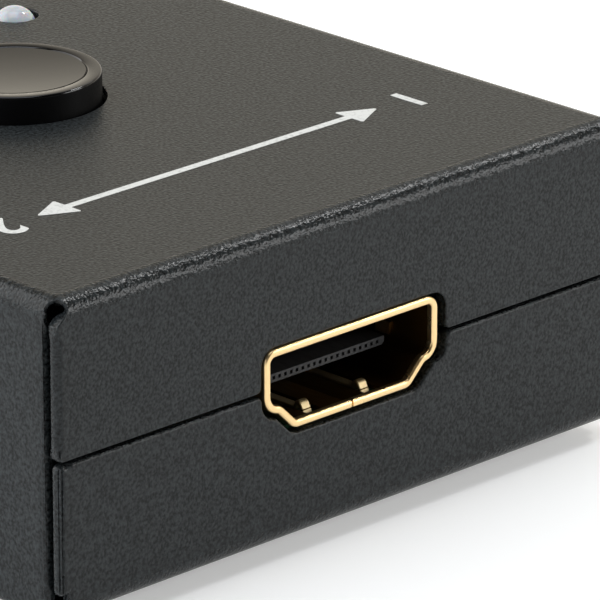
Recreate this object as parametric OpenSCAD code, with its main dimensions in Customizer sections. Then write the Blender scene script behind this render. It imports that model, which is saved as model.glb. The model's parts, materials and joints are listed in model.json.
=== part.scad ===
// Two-way video switch box: a folded sheet steel cover and tray around one circuit board,
// with one video socket in the front, two in the back and a push button in the top that
// swaps the active pair. +Z is up, the front faces -Y and the feet stand on z = 0.

/* [Case] */
// Width of the case, side to side
case_w = 49; // [46:0.5:70]
// Depth of the case, front to back
case_d = 61; // [58:0.5:90]
// Height of the case without its feet and button
case_h = 20.4; // [19.4:0.2:30]
// Thickness of the sheet steel
sheet_t = 0.8; // [0.6:0.1:1.2]
// Inside radius of every fold
fold_in_r = 0.4; // [0.2:0.05:0.8]
// Height of the seam between cover and tray above the underside of the case
seam_h = 10.2; // [9.6:0.1:11.2]
// Gap left open along the seam
seam_gap = 0.2; // [0.1:0.05:0.4]
// Gap between a side wall and the end flange beside it
corner_gap = 0.4; // [0.2:0.05:0.6]
// Clearance between the tray's floor and the cover's side walls
slip_gap = 0.15; // [0.1:0.05:0.3]
// Radius of the relief hole where the folds of two walls meet the top
relief_r = 1.2; // [1:0.05:1.5]
// Width of the corner clipped off each end flange under that hole
nip_w = 1; // [0.6:0.1:1.4]
// Depth below the top to which that corner is clipped
nip_h = 1.7; // [1.4:0.1:3]
// Length of the tabs that the tray folds up inside the side walls
tab_len = 44; // [42:0.5:46]
// Height of those tabs
tab_h = 8; // [7:0.2:9]

/* [Feet] */
// Diameter of a rubber foot
foot_d = 8; // [5:0.5:10]
// Height of a rubber foot
foot_h = 1; // [0.5:0.1:3]
// Radius of a foot's lower edge
foot_edge_r = 0.4; // [0.2:0.05:0.5]
// Distance from the edges of the case to the middle of a foot
foot_inset = 7.5; // [6:0.5:11]

/* [Sockets] */
// Width of the socket's opening
socket_w = 14; // [13.6:0.1:15]
// Height of the socket's opening
socket_h = 4.55; // [4.3:0.05:5]
// Thickness of the socket's shell
shell_t = 0.5; // [0.3:0.05:0.6]
// Length of the shell, from its mouth to its back
shell_len = 11.6; // [11:0.1:13]
// How far the mouth stands out of the case
shell_proud = 0.2; // [0.1:0.05:0.6]
// Gap above and below the shell in the wall of the case
port_gap = 0.2; // [0.1:0.05:0.4]
// Gap at either side of the shell in the wall of the case
port_side_gap = 0.5; // [0.3:0.05:0.8]
// How far the middle of the socket lies below the seam
port_drop = 0.1; // [0:0.05:0.3]
// Distance between the two sockets in the back
port_pitch = 23; // [19:0.5:24]
// Width of the step at either side of the opening
step_w = 0.9; // [0.9:0.05:1.2]
// Half the width of the shell's narrow floor
floor_x = 4.8; // [4.6:0.05:5]
// Depth of the tongue's front face behind the mouth
tongue_y = 2.35; // [2:0.05:3]
// Width of the tongue
tongue_w = 10.2; // [10:0.1:10.4]
// Thickness of the tongue
tongue_t = 0.55; // [0.5:0.05:0.9]
// Height of the tongue's upper face above the middle of the socket
tongue_top = 0.1; // [0:0.05:0.3]
// Spacing of neighbouring contacts
contact_pitch = 0.5; // [0.45:0.01:0.52]
// Width of a contact
contact_w = 0.24; // [0.18:0.01:0.28]
// Distance of a spring finger from the middle of the socket
finger_x = 2.5; // [2:0.1:3]
// Width of a spring finger
finger_w = 0.75; // [0.6:0.05:1.2]
// Thickness of a spring finger
finger_t = 0.25; // [0.2:0.05:0.3]
// Height of a spring finger's crest above the wall that it is cut from
finger_rise = 0.35; // [0.2:0.05:0.6]

/* [Board] */
// Thickness of the circuit board
board_t = 1.6; // [1:0.1:2]
// Gap between the board and the end walls
board_end_gap = 0.6; // [0.3:0.1:1]
// Gap between the board and the tray's tabs
board_side_gap = 0.4; // [0.2:0.1:0.8]
// Height of a socket's shell above the board
seat_gap = 0.35; // [0.25:0.05:0.5]
// Distance from the sides of the board to its screws
post_side = 3.4; // [3:0.1:3.8]
// Distance from the front edge of the board to the front screws
post_front = 6; // [4:0.5:8]
// Distance from the back edge of the board to the back screws
post_back = 18; // [17:0.5:20]
// Radius over the corners of a hexagonal standoff
post_r = 2.4; // [2.2:0.1:2.6]

/* [Button] */
// Diameter of the button's cap
button_d = 11.4; // [9.6:0.2:13]
// Gap around the cap in the top of the case
button_gap = 0.3; // [0.2:0.05:0.6]
// Height of the cap above the top of the case
button_rise = 1.75; // [1.6:0.05:4]
// Radius of the cap's upper edge
button_edge_r = 0.4; // [0.3:0.05:0.8]
// Travel of the button
button_travel = 1.5; // [1:0.1:1.5]
// Width of the switch under the button
switch_w = 8.5; // [8:0.1:9.5]
// Height of the switch above the board
switch_h = 7; // [6.4:0.1:7.2]
// Width of the square plunger
plunger_w = 3.2; // [2.8:0.1:3.3]
// Thickness of the return spring's wire
wire_d = 0.4; // [0.3:0.05:0.45]
// Turns of the return spring
coil_turns = 3.5; // [2.5:0.5:3.5]

/* [Lamps] */
// Diameter of an indicator lamp
lamp_d = 3; // [2.6:0.1:3.4]
// Gap around a lamp in the top of the case
lamp_gap = 0.1; // [0.05:0.05:0.3]
// Height of a lamp's tip above the top of the case
lamp_rise = 0.6; // [0.3:0.1:1]
// Clear distance between a lamp and the surge array behind it
lamp_back = 2.4; // [0.4:0.2:3]

/* [Fasteners] */
// Diameter of the screws' shanks
screw_d = 2.4; // [2:0.1:2.5]
// Diameter of the screws' heads
screw_head_d = 4.4; // [3.6:0.1:4.5]
// Clearance around a shank
screw_gap = 0.1; // [0.05:0.05:0.2]
// Distance of the side screws from the middle of the case, front to back
side_screw_y = 17.5; // [16:0.5:19]
// Height of the side screws above the underside of the case
side_screw_h = 3.6; // [3:0.1:3.8]

/* [Hidden] */
$fn = 48;

// How far a cutting shape runs past the face that it cuts
past = 0.5;
// Clearance of pieces that are pressed or moulded together
press_gap = 0.02;
// Running clearance of pieces that slide past each other
slide_gap = 0.15;

// Levels of the case
fold_r = fold_in_r + sheet_t;
case_z = foot_h;
top_z = case_z + case_h;
roof_z = top_z - sheet_t;
seam_z = case_z + seam_h;
floor_w = case_w - 2 * (sheet_t + slip_gap);
tab_relief = 0.5;
wing_relief = 0.5;
slot_stop = 0.63;
nip_top = 0.52;

// Outline of the socket's opening, anticlockwise from the right end of its floor
side_end = -0.8;
shoulder_z = -1;
corner_r = 0.4;
side_r = 0.75;
shoulder_r = 0.9;
floor_r = 0.45;
least_r = 0.15;
arc_steps = 4;
shoulder_x = socket_w / 2 - step_w;
opening_right = [
    [floor_x, -socket_h / 2],
    [shoulder_x, shoulder_z],
    [socket_w / 2, side_end],
    [socket_w / 2, socket_h / 2]
];
opening = concat(opening_right, [for (i = [3:-1:0]) [-opening_right[i].x, opening_right[i].y]]);
opening_radii = [floor_r, -shoulder_r, side_r, corner_r, corner_r, side_r, -shoulder_r, floor_r];

// Places of the sockets and the board
shell_w = socket_w + 2 * shell_t;
shell_h = socket_h + 2 * shell_t;
port_z = seam_z - port_drop;
board_drop = shell_h / 2 + seat_gap;
board_z = port_z - board_drop;
board_under = board_z - board_t;
board_w = floor_w - 2 * (sheet_t + board_side_gap);
board_d = case_d - 2 * (sheet_t + board_end_gap);
post_x = board_w / 2 - post_side;
post_foot_r = 1.9;
post_places = [
    for (side = [-1, 1]) each [
        [side * post_x, -board_d / 2 + post_front],
        [side * post_x, board_d / 2 - post_back]
    ]
];

// Inside of a socket, measured from its mouth
block_y = 6.6;
block_end = shell_len - shell_t - slide_gap;
riser_back = 0.7;
riser_y = block_end - riser_back;
blade_back = 2;
blade_y = tongue_y + blade_back;
blade_t = 0.15;
blade_proud = 0.05;
tail_out = 1;
tail_y = shell_len + tail_out;
upper_contacts = 10;
lower_contacts = 9;
contact_step = 2 * contact_pitch;
tongue_cut = 0.2;
pit_w = 0.22;
pit_h = 0.24;
pit_depth = 0.4;
finger_tip_y = 1.5;
finger_crest_y = 2.05;
finger_root_y = 6;
finger_foot = 0.6;
finger_gap = 0.3;
finger_knee = 0.05;
finger_dip = 0.3;
crest_r = 0.4;
crest_start = 80;
crest_end = 150;
seam_slit = 0.08;
port_ease = 0.4;
leg_w = 1.2;
leg_places = [4.4, 8.8];
leg_gap = 0.15;
leg_past = 0.6;

// Button, plunger and spring
button_z = top_z + button_rise;
lip_t = 0.8;
lip_w = 1.1;
lip_z = roof_z - slide_gap - lip_t;
cap_wall = 1;
cap_roof = 1.3;
dish_depth = 0.2;
boss_r = 3.4;
boss_drop = 0.75;
boss_z = lip_z - boss_drop;
switch_wall = 0.7;
switch_roof = 0.9;
switch_top = board_z + switch_h;
plunger_end_gap = 0.2;
plunger_top = button_z - cap_roof - plunger_end_gap;
plunger_foot = 5.4;
plunger_foot_t = 1;
base_t = 1.5;
switch_pin_w = 0.6;
switch_pin_pitch = 2;
coil_r = 2.85;
coil_rings = 8;
coil_sides = 6;
coil_count = coil_turns * coil_rings;
coil_low = switch_top + slide_gap + wire_d / 2;
coil_rise = boss_z - slide_gap - wire_d / 2 - coil_low;

// Lamps
lamp_len = 5.3;
lamp_flange_t = 1;
lamp_flange_w = 0.4;
lamp_z = top_z + lamp_rise - lamp_len;
lead_w = 0.5;
lead_pitch = 2.54;
lead_past = 1.2;
lead_gap = 0.15;

// Screws
side_head_t = 0.6;
side_shank = 3.2;
board_head_t = 1.4;
board_shank = 2.4;
board_head_edge = 0.7;
board_head_top_d = 2.9;
recess_w = 0.5;
recess_l = 2.4;
recess_t = 0.7;
side_recess_w = 0.35;
side_recess_l = 1.6;
side_recess_t = 0.45;

// Small parts on the board
chip_w = 7;
chip_t = 1;
chip_lift = 0.1;
dot_r = 0.5;
dot_inset = 1.2;
dot_depth = 0.1;
chip_leads_a_side = 12;
chip_lead_pitch = 0.5;
chip_lead_w = 0.22;
chip_lead_t = 0.12;
chip_lead_out = 1;
array_size = [2.6, 1, 0.6];
array_gap = 0.3;
array_y = case_d / 2 + shell_proud - tail_y - array_gap - array_size.y / 2;
chip_y = -(array_y - array_size.y / 2 + switch_w / 2) / 2;
lamp_y = array_y - array_size.y / 2 - lamp_back - lamp_d / 2 - lamp_flange_w;
small_size = [1.6, 0.8, 0.8];
small_cap = 0.35;
small_step = 0.03;
small_pitch = 2.2;
small_x = 8;
diode_size = [2.7, 1.6, 1.1];
diode_pitch = 4;
diode_y = 8.5;
regulator_size = [6.5, 3.5, 1.6];
regulator_lead = [0.7, 1.6, 0.3];
regulator_pitch = 2.2;
regulator_x = 13.5;

powder_black = "#3c3d3d";
rubber_black = "#1d1d1d";
zinc_black = "#2b2b2d";
steel_grey = "#9a9c9e";
gold_plate = "#e9c46f";
resin_black = "#151515";
board_green = "#1f4a33";
brass_yellow = "#b8954f";
lamp_white = "#e6ebee";
nylon_white = "#e4e2da";
tin_grey = "#b7b9ba";

function unit(v) = v / norm(v);
function turned(angle) = angle > 180 ? angle - 360 : angle < -180 ? angle + 360 : angle;
function before(pts, i) = pts[(i + len(pts) - 1) % len(pts)];
function after(pts, i) = pts[(i + 1) % len(pts)];
function outward(from, to) = [unit(to - from).y, -unit(to - from).x];

// Moves every edge of an anticlockwise outline outwards by a distance
function grown(pts, by) = [
    for (i = [0:len(pts) - 1])
        let (a = outward(before(pts, i), pts[i]), b = outward(pts[i], after(pts, i)))
        pts[i] + by * (a + b) / (1 + a * b)
];

// Points of the arc that rounds the corner p between its neighbours
function corner_arc(p, back, on, r) =
    let (
        a = unit(back - p),
        b = unit(on - p),
        half = acos(a * b) / 2,
        middle = p + unit(a + b) * r / sin(half),
        first = p + a * r / tan(half) - middle,
        last = p + b * r / tan(half) - middle,
        start = atan2(first.y, first.x),
        sweep = turned(atan2(last.y, last.x) - start)
    )
    [
        for (i = [0:arc_steps])
            let (angle = start + sweep * i / arc_steps)
            middle + r * [cos(angle), sin(angle)]
    ];

// The socket's outline grown by a distance, with its corners rounded to match.
// A negative radius marks a hollow corner, which tightens as the outline grows.
function socket_outline(by) =
    let (pts = grown(opening, by))
    [
        for (i = [0:len(pts) - 1])
            each corner_arc(pts[i], before(pts, i), after(pts, i), max(least_r, abs(opening_radii[i] + by)))
    ];

// A strip of even thickness along a line of points
function strip(pts, t) =
    let (
        last = len(pts) - 1,
        sides = [
            for (i = [0:last])
                let (d = unit(pts[min(i + 1, last)] - pts[max(i - 1, 0)]))
                [-d.y, d.x] * t / 2
        ]
    )
    concat([for (i = [0:last]) pts[i] + sides[i]], [for (i = [last:-1:0]) pts[i] - sides[i]]);

module box(size, at = [0, 0, 0]) {
    translate([at.x - size.x / 2, at.y - size.y / 2, at.z]) cube(size);
}

module both_sides() {
    for (flip = [0, 1]) mirror([flip, 0, 0]) children();
}

module both_ends() {
    for (flip = [0, 1]) mirror([0, flip, 0]) children();
}

// Section with its two upper corners rounded
module arch(w, h, r) {
    translate([-w / 2, 0]) square([w, h - r]);
    translate([-w / 2 + r, 0]) square([w - 2 * r, h]);
    for (side = [-1, 1])
        translate([side * (w / 2 - r), h - r]) circle(r);
}

// Block whose four upper edges are rounded, as folds leave them
module folded_block(w, d, h, r) {
    intersection() {
        rotate([90, 0, 0]) linear_extrude(d + 2 * past, center = true) arch(w, h, r);
        rotate([90, 0, 90]) linear_extrude(w + 2 * past, center = true) arch(d, h, r);
    }
}

// Sheet folded up along two sides, with its floor at z = 0
module trough(w, h, length) {
    rotate([90, 0, 0]) linear_extrude(length, center = true) difference() {
        translate([0, h]) mirror([0, 1]) arch(w, h, fold_r);
        translate([0, h + sheet_t]) mirror([0, 1]) arch(w - 2 * sheet_t, h, fold_in_r);
    }
}

// Extrudes an outline of the port face from depth y1 to depth y2
module through(pts, y1, y2) {
    translate([0, y2, 0]) rotate([90, 0, 0]) linear_extrude(y2 - y1) polygon(pts);
}

module at_front_port() {
    translate([0, -case_d / 2 - shell_proud, port_z]) children();
}

module at_back_port(side) {
    translate([side * port_pitch / 2, case_d / 2 + shell_proud, port_z]) rotate([0, 0, 180]) children();
}

module at_every_port() {
    at_front_port() children();
    at_back_port(-1) children();
    at_back_port(1) children();
}

// Opening for a socket in the end wall, with its corners eased where it meets the seam
module port_cut() {
    reach = shell_proud + sheet_t + past;
    spread = port_side_gap - port_gap;
    through([for (p = socket_outline(shell_t + port_gap)) [p.x + sign(p.x) * spread, p.y]], -past, reach);
    both_sides()
        translate([shell_w / 2 + port_side_gap, 0, port_drop])
            rotate([0, 45, 0]) translate([-port_ease / 2, -past, -port_ease / 2])
                cube([port_ease, reach + past, port_ease]);
}

// What the press takes out at one upper corner before the walls are folded
module corner_relief() {
    translate([-case_w / 2, -case_d / 2, top_z]) {
        sphere(relief_r);
        translate([-past, sheet_t, -case_h])
            cube([past + sheet_t + fold_in_r, corner_gap, case_h - slot_stop]);
        translate([0, sheet_t + corner_gap, 0]) rotate([90, 0, 0]) linear_extrude(sheet_t + corner_gap + past)
            polygon([[-past, -nip_top], [nip_w, -nip_top], [0, -nip_h], [-past, -nip_h]]);
    }
}

// Axis of each side screw, pointing in from the side wall
module at_side_screws() {
    both_sides() both_ends()
        translate([-case_w / 2, side_screw_y, case_z + side_screw_h]) rotate([0, 90, 0]) children();
}

module at_posts() {
    for (place = post_places) translate([place.x, place.y, 0]) children();
}

module at_lamps() {
    for (side = [-1, 1]) translate([side * port_pitch / 2, lamp_y, 0]) children();
}

module top_cover() {
    color(powder_black) difference() {
        translate([0, 0, case_z]) folded_block(case_w, case_d, case_h, fold_r);
        translate([0, 0, case_z - past])
            folded_block(case_w - 2 * sheet_t, case_d - 2 * sheet_t, case_h - sheet_t + past, fold_in_r);
        both_ends()
            translate([-case_w / 2 - past, -case_d / 2 - past, case_z - past])
                cube([case_w + 2 * past, past + sheet_t + corner_gap, past + seam_h + seam_gap / 2]);
        both_sides() both_ends() corner_relief();
        at_every_port() port_cut();
        translate([0, 0, roof_z - past]) cylinder(r = button_d / 2 + button_gap, h = sheet_t + 2 * past);
        at_lamps() translate([0, 0, roof_z - past])
            cylinder(r = lamp_d / 2 + lamp_gap, h = sheet_t + 2 * past);
        at_side_screws() {
            translate([0, 0, -past]) cylinder(r = screw_d / 2 + screw_gap, h = sheet_t + 2 * past);
            side_head(press_gap);
        }
    }
}

module base_tray() {
    color(powder_black) difference() {
        translate([0, 0, case_z]) {
            difference() {
                rotate([0, 0, 90]) trough(case_d, seam_h - seam_gap / 2, floor_w);
                both_sides()
                    translate([floor_w / 2 - fold_r, -tab_len / 2 - tab_relief, -past])
                        cube([fold_r + past, tab_len + 2 * tab_relief, fold_r + past]);
            }
            trough(floor_w, tab_h, tab_len);
            both_ends()
                translate([-case_w / 2, -case_d / 2, fold_r + wing_relief])
                    cube([case_w, sheet_t, seam_h - seam_gap / 2 - fold_r - wing_relief]);
        }
        at_every_port() port_cut();
        at_posts() translate([0, 0, case_z - past])
            cylinder(r = post_foot_r + press_gap, h = sheet_t + 2 * past);
        at_side_screws() cylinder(r = screw_d / 2 + press_gap, h = 2 * sheet_t + slip_gap + past);
    }
}

module rubber_feet() {
    color(rubber_black) both_sides() both_ends()
        translate([case_w / 2 - foot_inset, case_d / 2 - foot_inset, 0]) rotate_extrude() {
            square([foot_d / 2 - foot_edge_r, foot_h]);
            translate([0, foot_edge_r]) square([foot_d / 2, foot_h - foot_edge_r]);
            translate([foot_d / 2 - foot_edge_r, foot_edge_r]) circle(foot_edge_r);
        }
}

// Flat countersunk head, level with the side wall
module side_head(room) {
    cylinder(r1 = screw_head_d / 2 + room, r2 = screw_d / 2 + room, h = side_head_t);
    translate([0, 0, -past]) cylinder(r = screw_head_d / 2 + room, h = past);
}

// Cross recess for a driver
module cross_recess(l, w, t) {
    for (turn = [0, 90]) rotate([0, 0, turn]) translate([-l / 2, -w / 2, -past]) cube([l, w, past + t]);
}

module case_screws() {
    color(zinc_black) at_side_screws() difference() {
        union() {
            cylinder(r1 = screw_head_d / 2, r2 = screw_d / 2, h = side_head_t);
            cylinder(r = screw_d / 2, h = side_shank);
        }
        cross_recess(side_recess_l, side_recess_w, side_recess_t);
    }
}

module board_standoffs() {
    color(brass_yellow) at_posts() difference() {
        union() {
            translate([0, 0, case_z + sheet_t])
                cylinder(r = post_r, h = board_under - case_z - sheet_t, $fn = 6);
            translate([0, 0, case_z]) cylinder(r = post_foot_r, h = sheet_t);
        }
        translate([0, 0, board_under - board_shank - past])
            cylinder(r = screw_d / 2 + press_gap, h = board_shank + 2 * past);
    }
}

module board_screws() {
    color(steel_grey) at_posts() translate([0, 0, board_z]) difference() {
        union() {
            translate([0, 0, -board_t - board_shank]) cylinder(r = screw_d / 2, h = board_t + board_shank);
            cylinder(r = screw_head_d / 2, h = board_head_edge);
            translate([0, 0, board_head_edge])
                cylinder(d1 = screw_head_d, d2 = board_head_top_d, h = board_head_t - board_head_edge);
        }
        translate([0, 0, board_head_t]) mirror([0, 0, 1]) cross_recess(recess_l, recess_w, recess_t);
    }
}

module circuit_board() {
    hole_z = board_under - past;
    hole_h = board_t + 2 * past;
    color(board_green) difference() {
        box([board_w, board_d, board_t], [0, 0, board_under]);
        at_posts() translate([0, 0, hole_z]) cylinder(r = screw_d / 2 + screw_gap, h = hole_h);
        at_every_port() both_sides()
            for (y = leg_places)
                translate([socket_w / 2 - leg_gap, y - leg_w / 2 - leg_gap, hole_z - port_z])
                    cube([shell_t + 2 * leg_gap, leg_w + 2 * leg_gap, hole_h]);
        at_lamps() at_leads() translate([0, 0, hole_z]) cylinder(r = lead_w / sqrt(2) + lead_gap, h = hole_h);
        at_switch_pins() translate([0, 0, hole_z])
            cylinder(r = switch_pin_w / sqrt(2) + lead_gap, h = hole_h);
    }
}

// Middle line of a spring finger: from the middle of its wall up to a round crest, down to a knee and
// through the wall to the tip
crest_z = finger_rise + (shell_t - finger_t) / 2;
finger_line = concat(
    [[finger_root_y + finger_foot, 0], [finger_root_y - finger_foot, 0]],
    [
        for (i = [0:arc_steps])
            let (angle = crest_start + (crest_end - crest_start) * i / arc_steps)
            [finger_crest_y, crest_z - crest_r] + crest_r * [cos(angle), sin(angle)]
    ],
    [[finger_tip_y, -finger_knee], [finger_tip_y, -finger_dip]]
);

module finger() {
    translate([-finger_w / 2, 0, 0]) rotate([90, 0, 90]) linear_extrude(finger_w)
        polygon(strip(finger_line, finger_t));
}

// Places a finger's middle line in the floor and, upside down, in the roof of a shell
module at_fingers() {
    for (side = [-1, 1]) {
        translate([side * finger_x, 0, -(socket_h + shell_t) / 2]) children();
        translate([side * finger_x, 0, (socket_h + shell_t) / 2]) mirror([0, 0, 1]) children();
    }
}

// Gold plated shell, folded from one sheet and closed at the back
module socket_shell() {
    window_y = finger_tip_y - finger_gap;
    color(gold_plate) {
        difference() {
            union() {
                through(socket_outline(shell_t), 0, shell_len);
                both_sides()
                    for (y = leg_places)
                        translate([socket_w / 2, y - leg_w / 2, -board_drop - board_t - leg_past])
                            cube([shell_t, leg_w, board_drop + board_t + leg_past]);
            }
            through(socket_outline(0), -past, shell_len - shell_t);
            at_fingers()
                translate([-finger_w / 2 - finger_gap, window_y, -shell_t])
                    cube([finger_w + 2 * finger_gap, finger_root_y - window_y, 2 * shell_t]);
            box([seam_slit, 2 * (riser_y - slide_gap), shell_t + past], [0, 0, -shell_h / 2 - past / 2]);
            translate([-tongue_w / 2, riser_y - 2 * slide_gap, -shell_h / 2 - past])
                cube([tongue_w, shell_len, shell_t + past]);
        }
        at_fingers() finger();
    }
}

// One contact: a blade on the tongue, a riser in the block and a tail on the board
module contact(x, blade_z) {
    translate([x - contact_w / 2, 0, 0]) {
        translate([0, blade_y, blade_z]) cube([contact_w, riser_y + blade_t - blade_y, blade_t]);
        translate([0, riser_y, -board_drop]) cube([contact_w, blade_t, blade_z + blade_t + board_drop]);
        translate([0, riser_y, -board_drop]) cube([contact_w, tail_y - riser_y, blade_t]);
    }
}

module contact_rows() {
    upper_z = tongue_top + blade_proud - blade_t;
    lower_z = tongue_top - tongue_t - blade_proud;
    for (i = [0:upper_contacts - 1]) contact((i - (upper_contacts - 1) / 2) * contact_step, upper_z);
    for (i = [0:lower_contacts - 1]) contact((i - (lower_contacts - 1) / 2) * contact_step, lower_z);
}

module socket_contacts() {
    color(gold_plate) contact_rows();
}

// Moulded block that carries the tongue, with a pit in its front edge for every contact
module socket_insulator() {
    pits = upper_contacts + lower_contacts;
    pit = [pit_w, 2 * pit_depth, pit_h];
    under = tongue_top - tongue_t;
    right = [
        [tongue_w / 2 - tongue_cut, under],
        [tongue_w / 2, under + tongue_cut],
        [tongue_w / 2, tongue_top]
    ];
    tongue = concat(right, [for (i = [2:-1:0]) [-right[i].x, right[i].y]]);
    color(resin_black) difference() {
        union() {
            through(socket_outline(-press_gap), block_y, block_end);
            through(tongue, tongue_y, block_y + past);
        }
        contact_rows();
        for (i = [0:pits - 1])
            box(pit, [(i - (pits - 1) / 2) * contact_pitch, tongue_y, tongue_top - (tongue_t + pit_h) / 2]);
    }
}

module front_socket_shell() { at_front_port() socket_shell(); }
module front_socket_insulator() { at_front_port() socket_insulator(); }
module front_socket_contacts() { at_front_port() socket_contacts(); }
module left_socket_shell() { at_back_port(-1) socket_shell(); }
module left_socket_insulator() { at_back_port(-1) socket_insulator(); }
module left_socket_contacts() { at_back_port(-1) socket_contacts(); }
module right_socket_shell() { at_back_port(1) socket_shell(); }
module right_socket_insulator() { at_back_port(1) socket_insulator(); }
module right_socket_contacts() { at_back_port(1) socket_contacts(); }

// Hollow cap with a lip that holds it under the top, a shallow dish and a boss for the plunger
module button_cap() {
    r = button_d / 2;
    inner_r = r - cap_wall;
    roof = button_z - cap_roof;
    dish_r = (pow(r, 2) + pow(dish_depth, 2)) / (2 * dish_depth);
    color(resin_black) difference() {
        union() {
            rotate_extrude() {
                translate([0, lip_z]) square([r + lip_w, lip_t]);
                translate([0, lip_z]) square([r, button_z - button_edge_r - lip_z]);
                translate([0, lip_z]) square([r - button_edge_r, button_z - lip_z]);
                translate([r - button_edge_r, button_z - button_edge_r]) circle(button_edge_r);
            }
            translate([0, 0, boss_z]) cylinder(r = boss_r, h = roof - boss_z + past);
        }
        difference() {
            translate([0, 0, lip_z - past]) cylinder(r = inner_r, h = roof - lip_z + past);
            translate([0, 0, boss_z]) cylinder(r = boss_r, h = roof - boss_z + past);
        }
        box(
            [plunger_w + 2 * press_gap, plunger_w + 2 * press_gap, plunger_top + press_gap - boss_z + past],
            [0, 0, boss_z - past]
        );
        translate([0, 0, button_z + dish_r - dish_depth]) sphere(dish_r, $fn = 96);
    }
}

module switch_plunger() {
    foot_top = switch_top - switch_roof - slide_gap;
    color(resin_black) {
        box([plunger_w, plunger_w, plunger_top - foot_top + past], [0, 0, foot_top - past]);
        box([plunger_foot, plunger_foot, plunger_foot_t], [0, 0, foot_top - plunger_foot_t]);
    }
}

// The spring's wire: one tube of small rings along a helix between the switch and the cap's boss
coil_line = [
    for (i = [0:coil_count])
        let (angle = 360 * i / coil_rings)
        [coil_r * cos(angle), coil_r * sin(angle), coil_low + coil_rise * i / coil_count]
];
coil_points = [
    for (i = [0:coil_count], s = [0:coil_sides - 1])
        let (
            angle = 360 * i / coil_rings,
            out = [cos(angle), sin(angle), 0],
            along = unit([-coil_r * sin(angle), coil_r * cos(angle), coil_rise / (coil_turns * 2 * PI)]),
            up = cross(out, along),
            lean = 360 * s / coil_sides
        )
        coil_line[i] + wire_d / 2 * (out * cos(lean) + up * sin(lean))
];
coil_faces = concat(
    [
        for (i = [0:coil_count - 1], s = [0:coil_sides - 1])
            let (a = i * coil_sides + s, b = i * coil_sides + (s + 1) % coil_sides)
            each [[a, b, b + coil_sides], [a, b + coil_sides, a + coil_sides]]
    ],
    [for (s = [1:coil_sides - 2]) [0, s + 1, s]],
    [for (s = [1:coil_sides - 2]) [0, s, s + 1] + coil_count * coil_sides * [1, 1, 1]]
);
coil_gap = min([
    for (i = [0:coil_count], j = [0:coil_count])
        if (j - i > coil_rings / 2) norm(coil_line[j] - coil_line[i]) - wire_d
]);

module return_spring() {
    echo(least_gap_between_turns = coil_gap);
    color(steel_grey) polyhedron(coil_points, coil_faces);
}

module switch_housing() {
    inner = switch_w - 2 * switch_wall;
    shaft = plunger_w + 2 * slide_gap;
    color(resin_black) difference() {
        box([switch_w, switch_w, switch_h], [0, 0, board_z]);
        box([inner, inner, switch_h - switch_roof + past], [0, 0, board_z - past]);
        box([shaft, shaft, switch_roof + 2 * past], [0, 0, switch_top - switch_roof - past]);
    }
}

module switch_base() {
    w = switch_w - 2 * switch_wall - 2 * press_gap;
    color(nylon_white) difference() {
        box([w, w, base_t], [0, 0, board_z]);
        at_switch_pins() box([switch_pin_w, switch_pin_w, base_t + 2 * past], [0, 0, board_z - past]);
    }
}

module at_switch_pins() {
    for (side = [-1, 1], row = [-1:1])
        translate([side * switch_pin_pitch, row * switch_pin_pitch, 0]) children();
}

module switch_pins() {
    pin_w = switch_pin_w - 2 * press_gap;
    color(tin_grey) at_switch_pins()
        box([pin_w, pin_w, board_t + lead_past + base_t], [0, 0, board_under - lead_past]);
}

module indicator_lamps() {
    r = lamp_d / 2;
    color(lamp_white) at_lamps() translate([0, 0, lamp_z]) rotate_extrude() {
        square([r + lamp_flange_w, lamp_flange_t]);
        square([r, lamp_len - r]);
        intersection() {
            translate([0, lamp_len - r]) circle(r);
            translate([0, lamp_len - r]) square([r, r]);
        }
    }
}

module at_leads() {
    for (side = [-1, 1]) translate([side * lead_pitch / 2, 0, 0]) children();
}

module lamp_leads() {
    color(tin_grey) at_lamps() at_leads()
        box([lead_w, lead_w, lamp_z - board_under + lead_past], [0, 0, board_under - lead_past]);
}

module lamp_spacers() {
    color(nylon_white) at_lamps() difference() {
        translate([0, 0, board_z]) cylinder(r = lamp_d / 2 + lamp_flange_w, h = lamp_z - board_z);
        at_leads() box(
            [lead_w + 2 * press_gap, lead_w + 2 * press_gap, lamp_z - board_z + 2 * past],
            [0, 0, board_z - past]
        );
    }
}

module switching_chip() {
    color(resin_black) difference() {
        box([chip_w, chip_w, chip_t], [0, chip_y, board_z + chip_lift]);
        translate([0, chip_y, board_z + chip_lift + chip_t - dot_depth])
            translate([dot_inset - chip_w / 2, chip_w / 2 - dot_inset, 0])
                cylinder(r = dot_r, h = dot_depth + past);
    }
}

// Gull wing leads: out of the chip's side at mid height, down, and flat on the board
module chip_leads() {
    mid = board_z + chip_lift + (chip_t - chip_lead_t) / 2;
    knee = chip_w / 2 + chip_lead_out / 2;
    color(tin_grey) translate([0, chip_y, 0])
        for (turn = [0:90:270], i = [0:chip_leads_a_side - 1])
            rotate([0, 0, turn])
            translate([(i - (chip_leads_a_side - 1) / 2) * chip_lead_pitch - chip_lead_w / 2, 0, 0]) {
                translate([0, chip_w / 2, mid])
                    cube([chip_lead_w, chip_lead_out / 2 + chip_lead_t, chip_lead_t]);
                translate([0, knee, board_z]) cube([chip_lead_w, chip_lead_t, mid + chip_lead_t - board_z]);
                translate([0, knee, board_z]) cube([chip_lead_w, chip_lead_out / 2, chip_lead_t]);
            }
}

// Places the children on the board
module on_board(places) {
    for (place = places) translate([place.x, place.y, board_z]) children();
}

// Chip part with a plated cap on each end
module small_part(size) {
    box([size.x - 2 * small_cap, size.y - 2 * small_step, size.z - small_step]);
    for (side = [-1, 1]) box([small_cap, size.y, size.z], [side * (size.x - small_cap) / 2, 0, 0]);
}

module surge_arrays() {
    front = [for (side = [-1, 1]) [side * array_size.x, -array_y]];
    back = [for (side = [-1, 1]) [side * port_pitch / 2, array_y]];
    color(resin_black) on_board(concat(front, back)) box(array_size);
}

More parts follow.
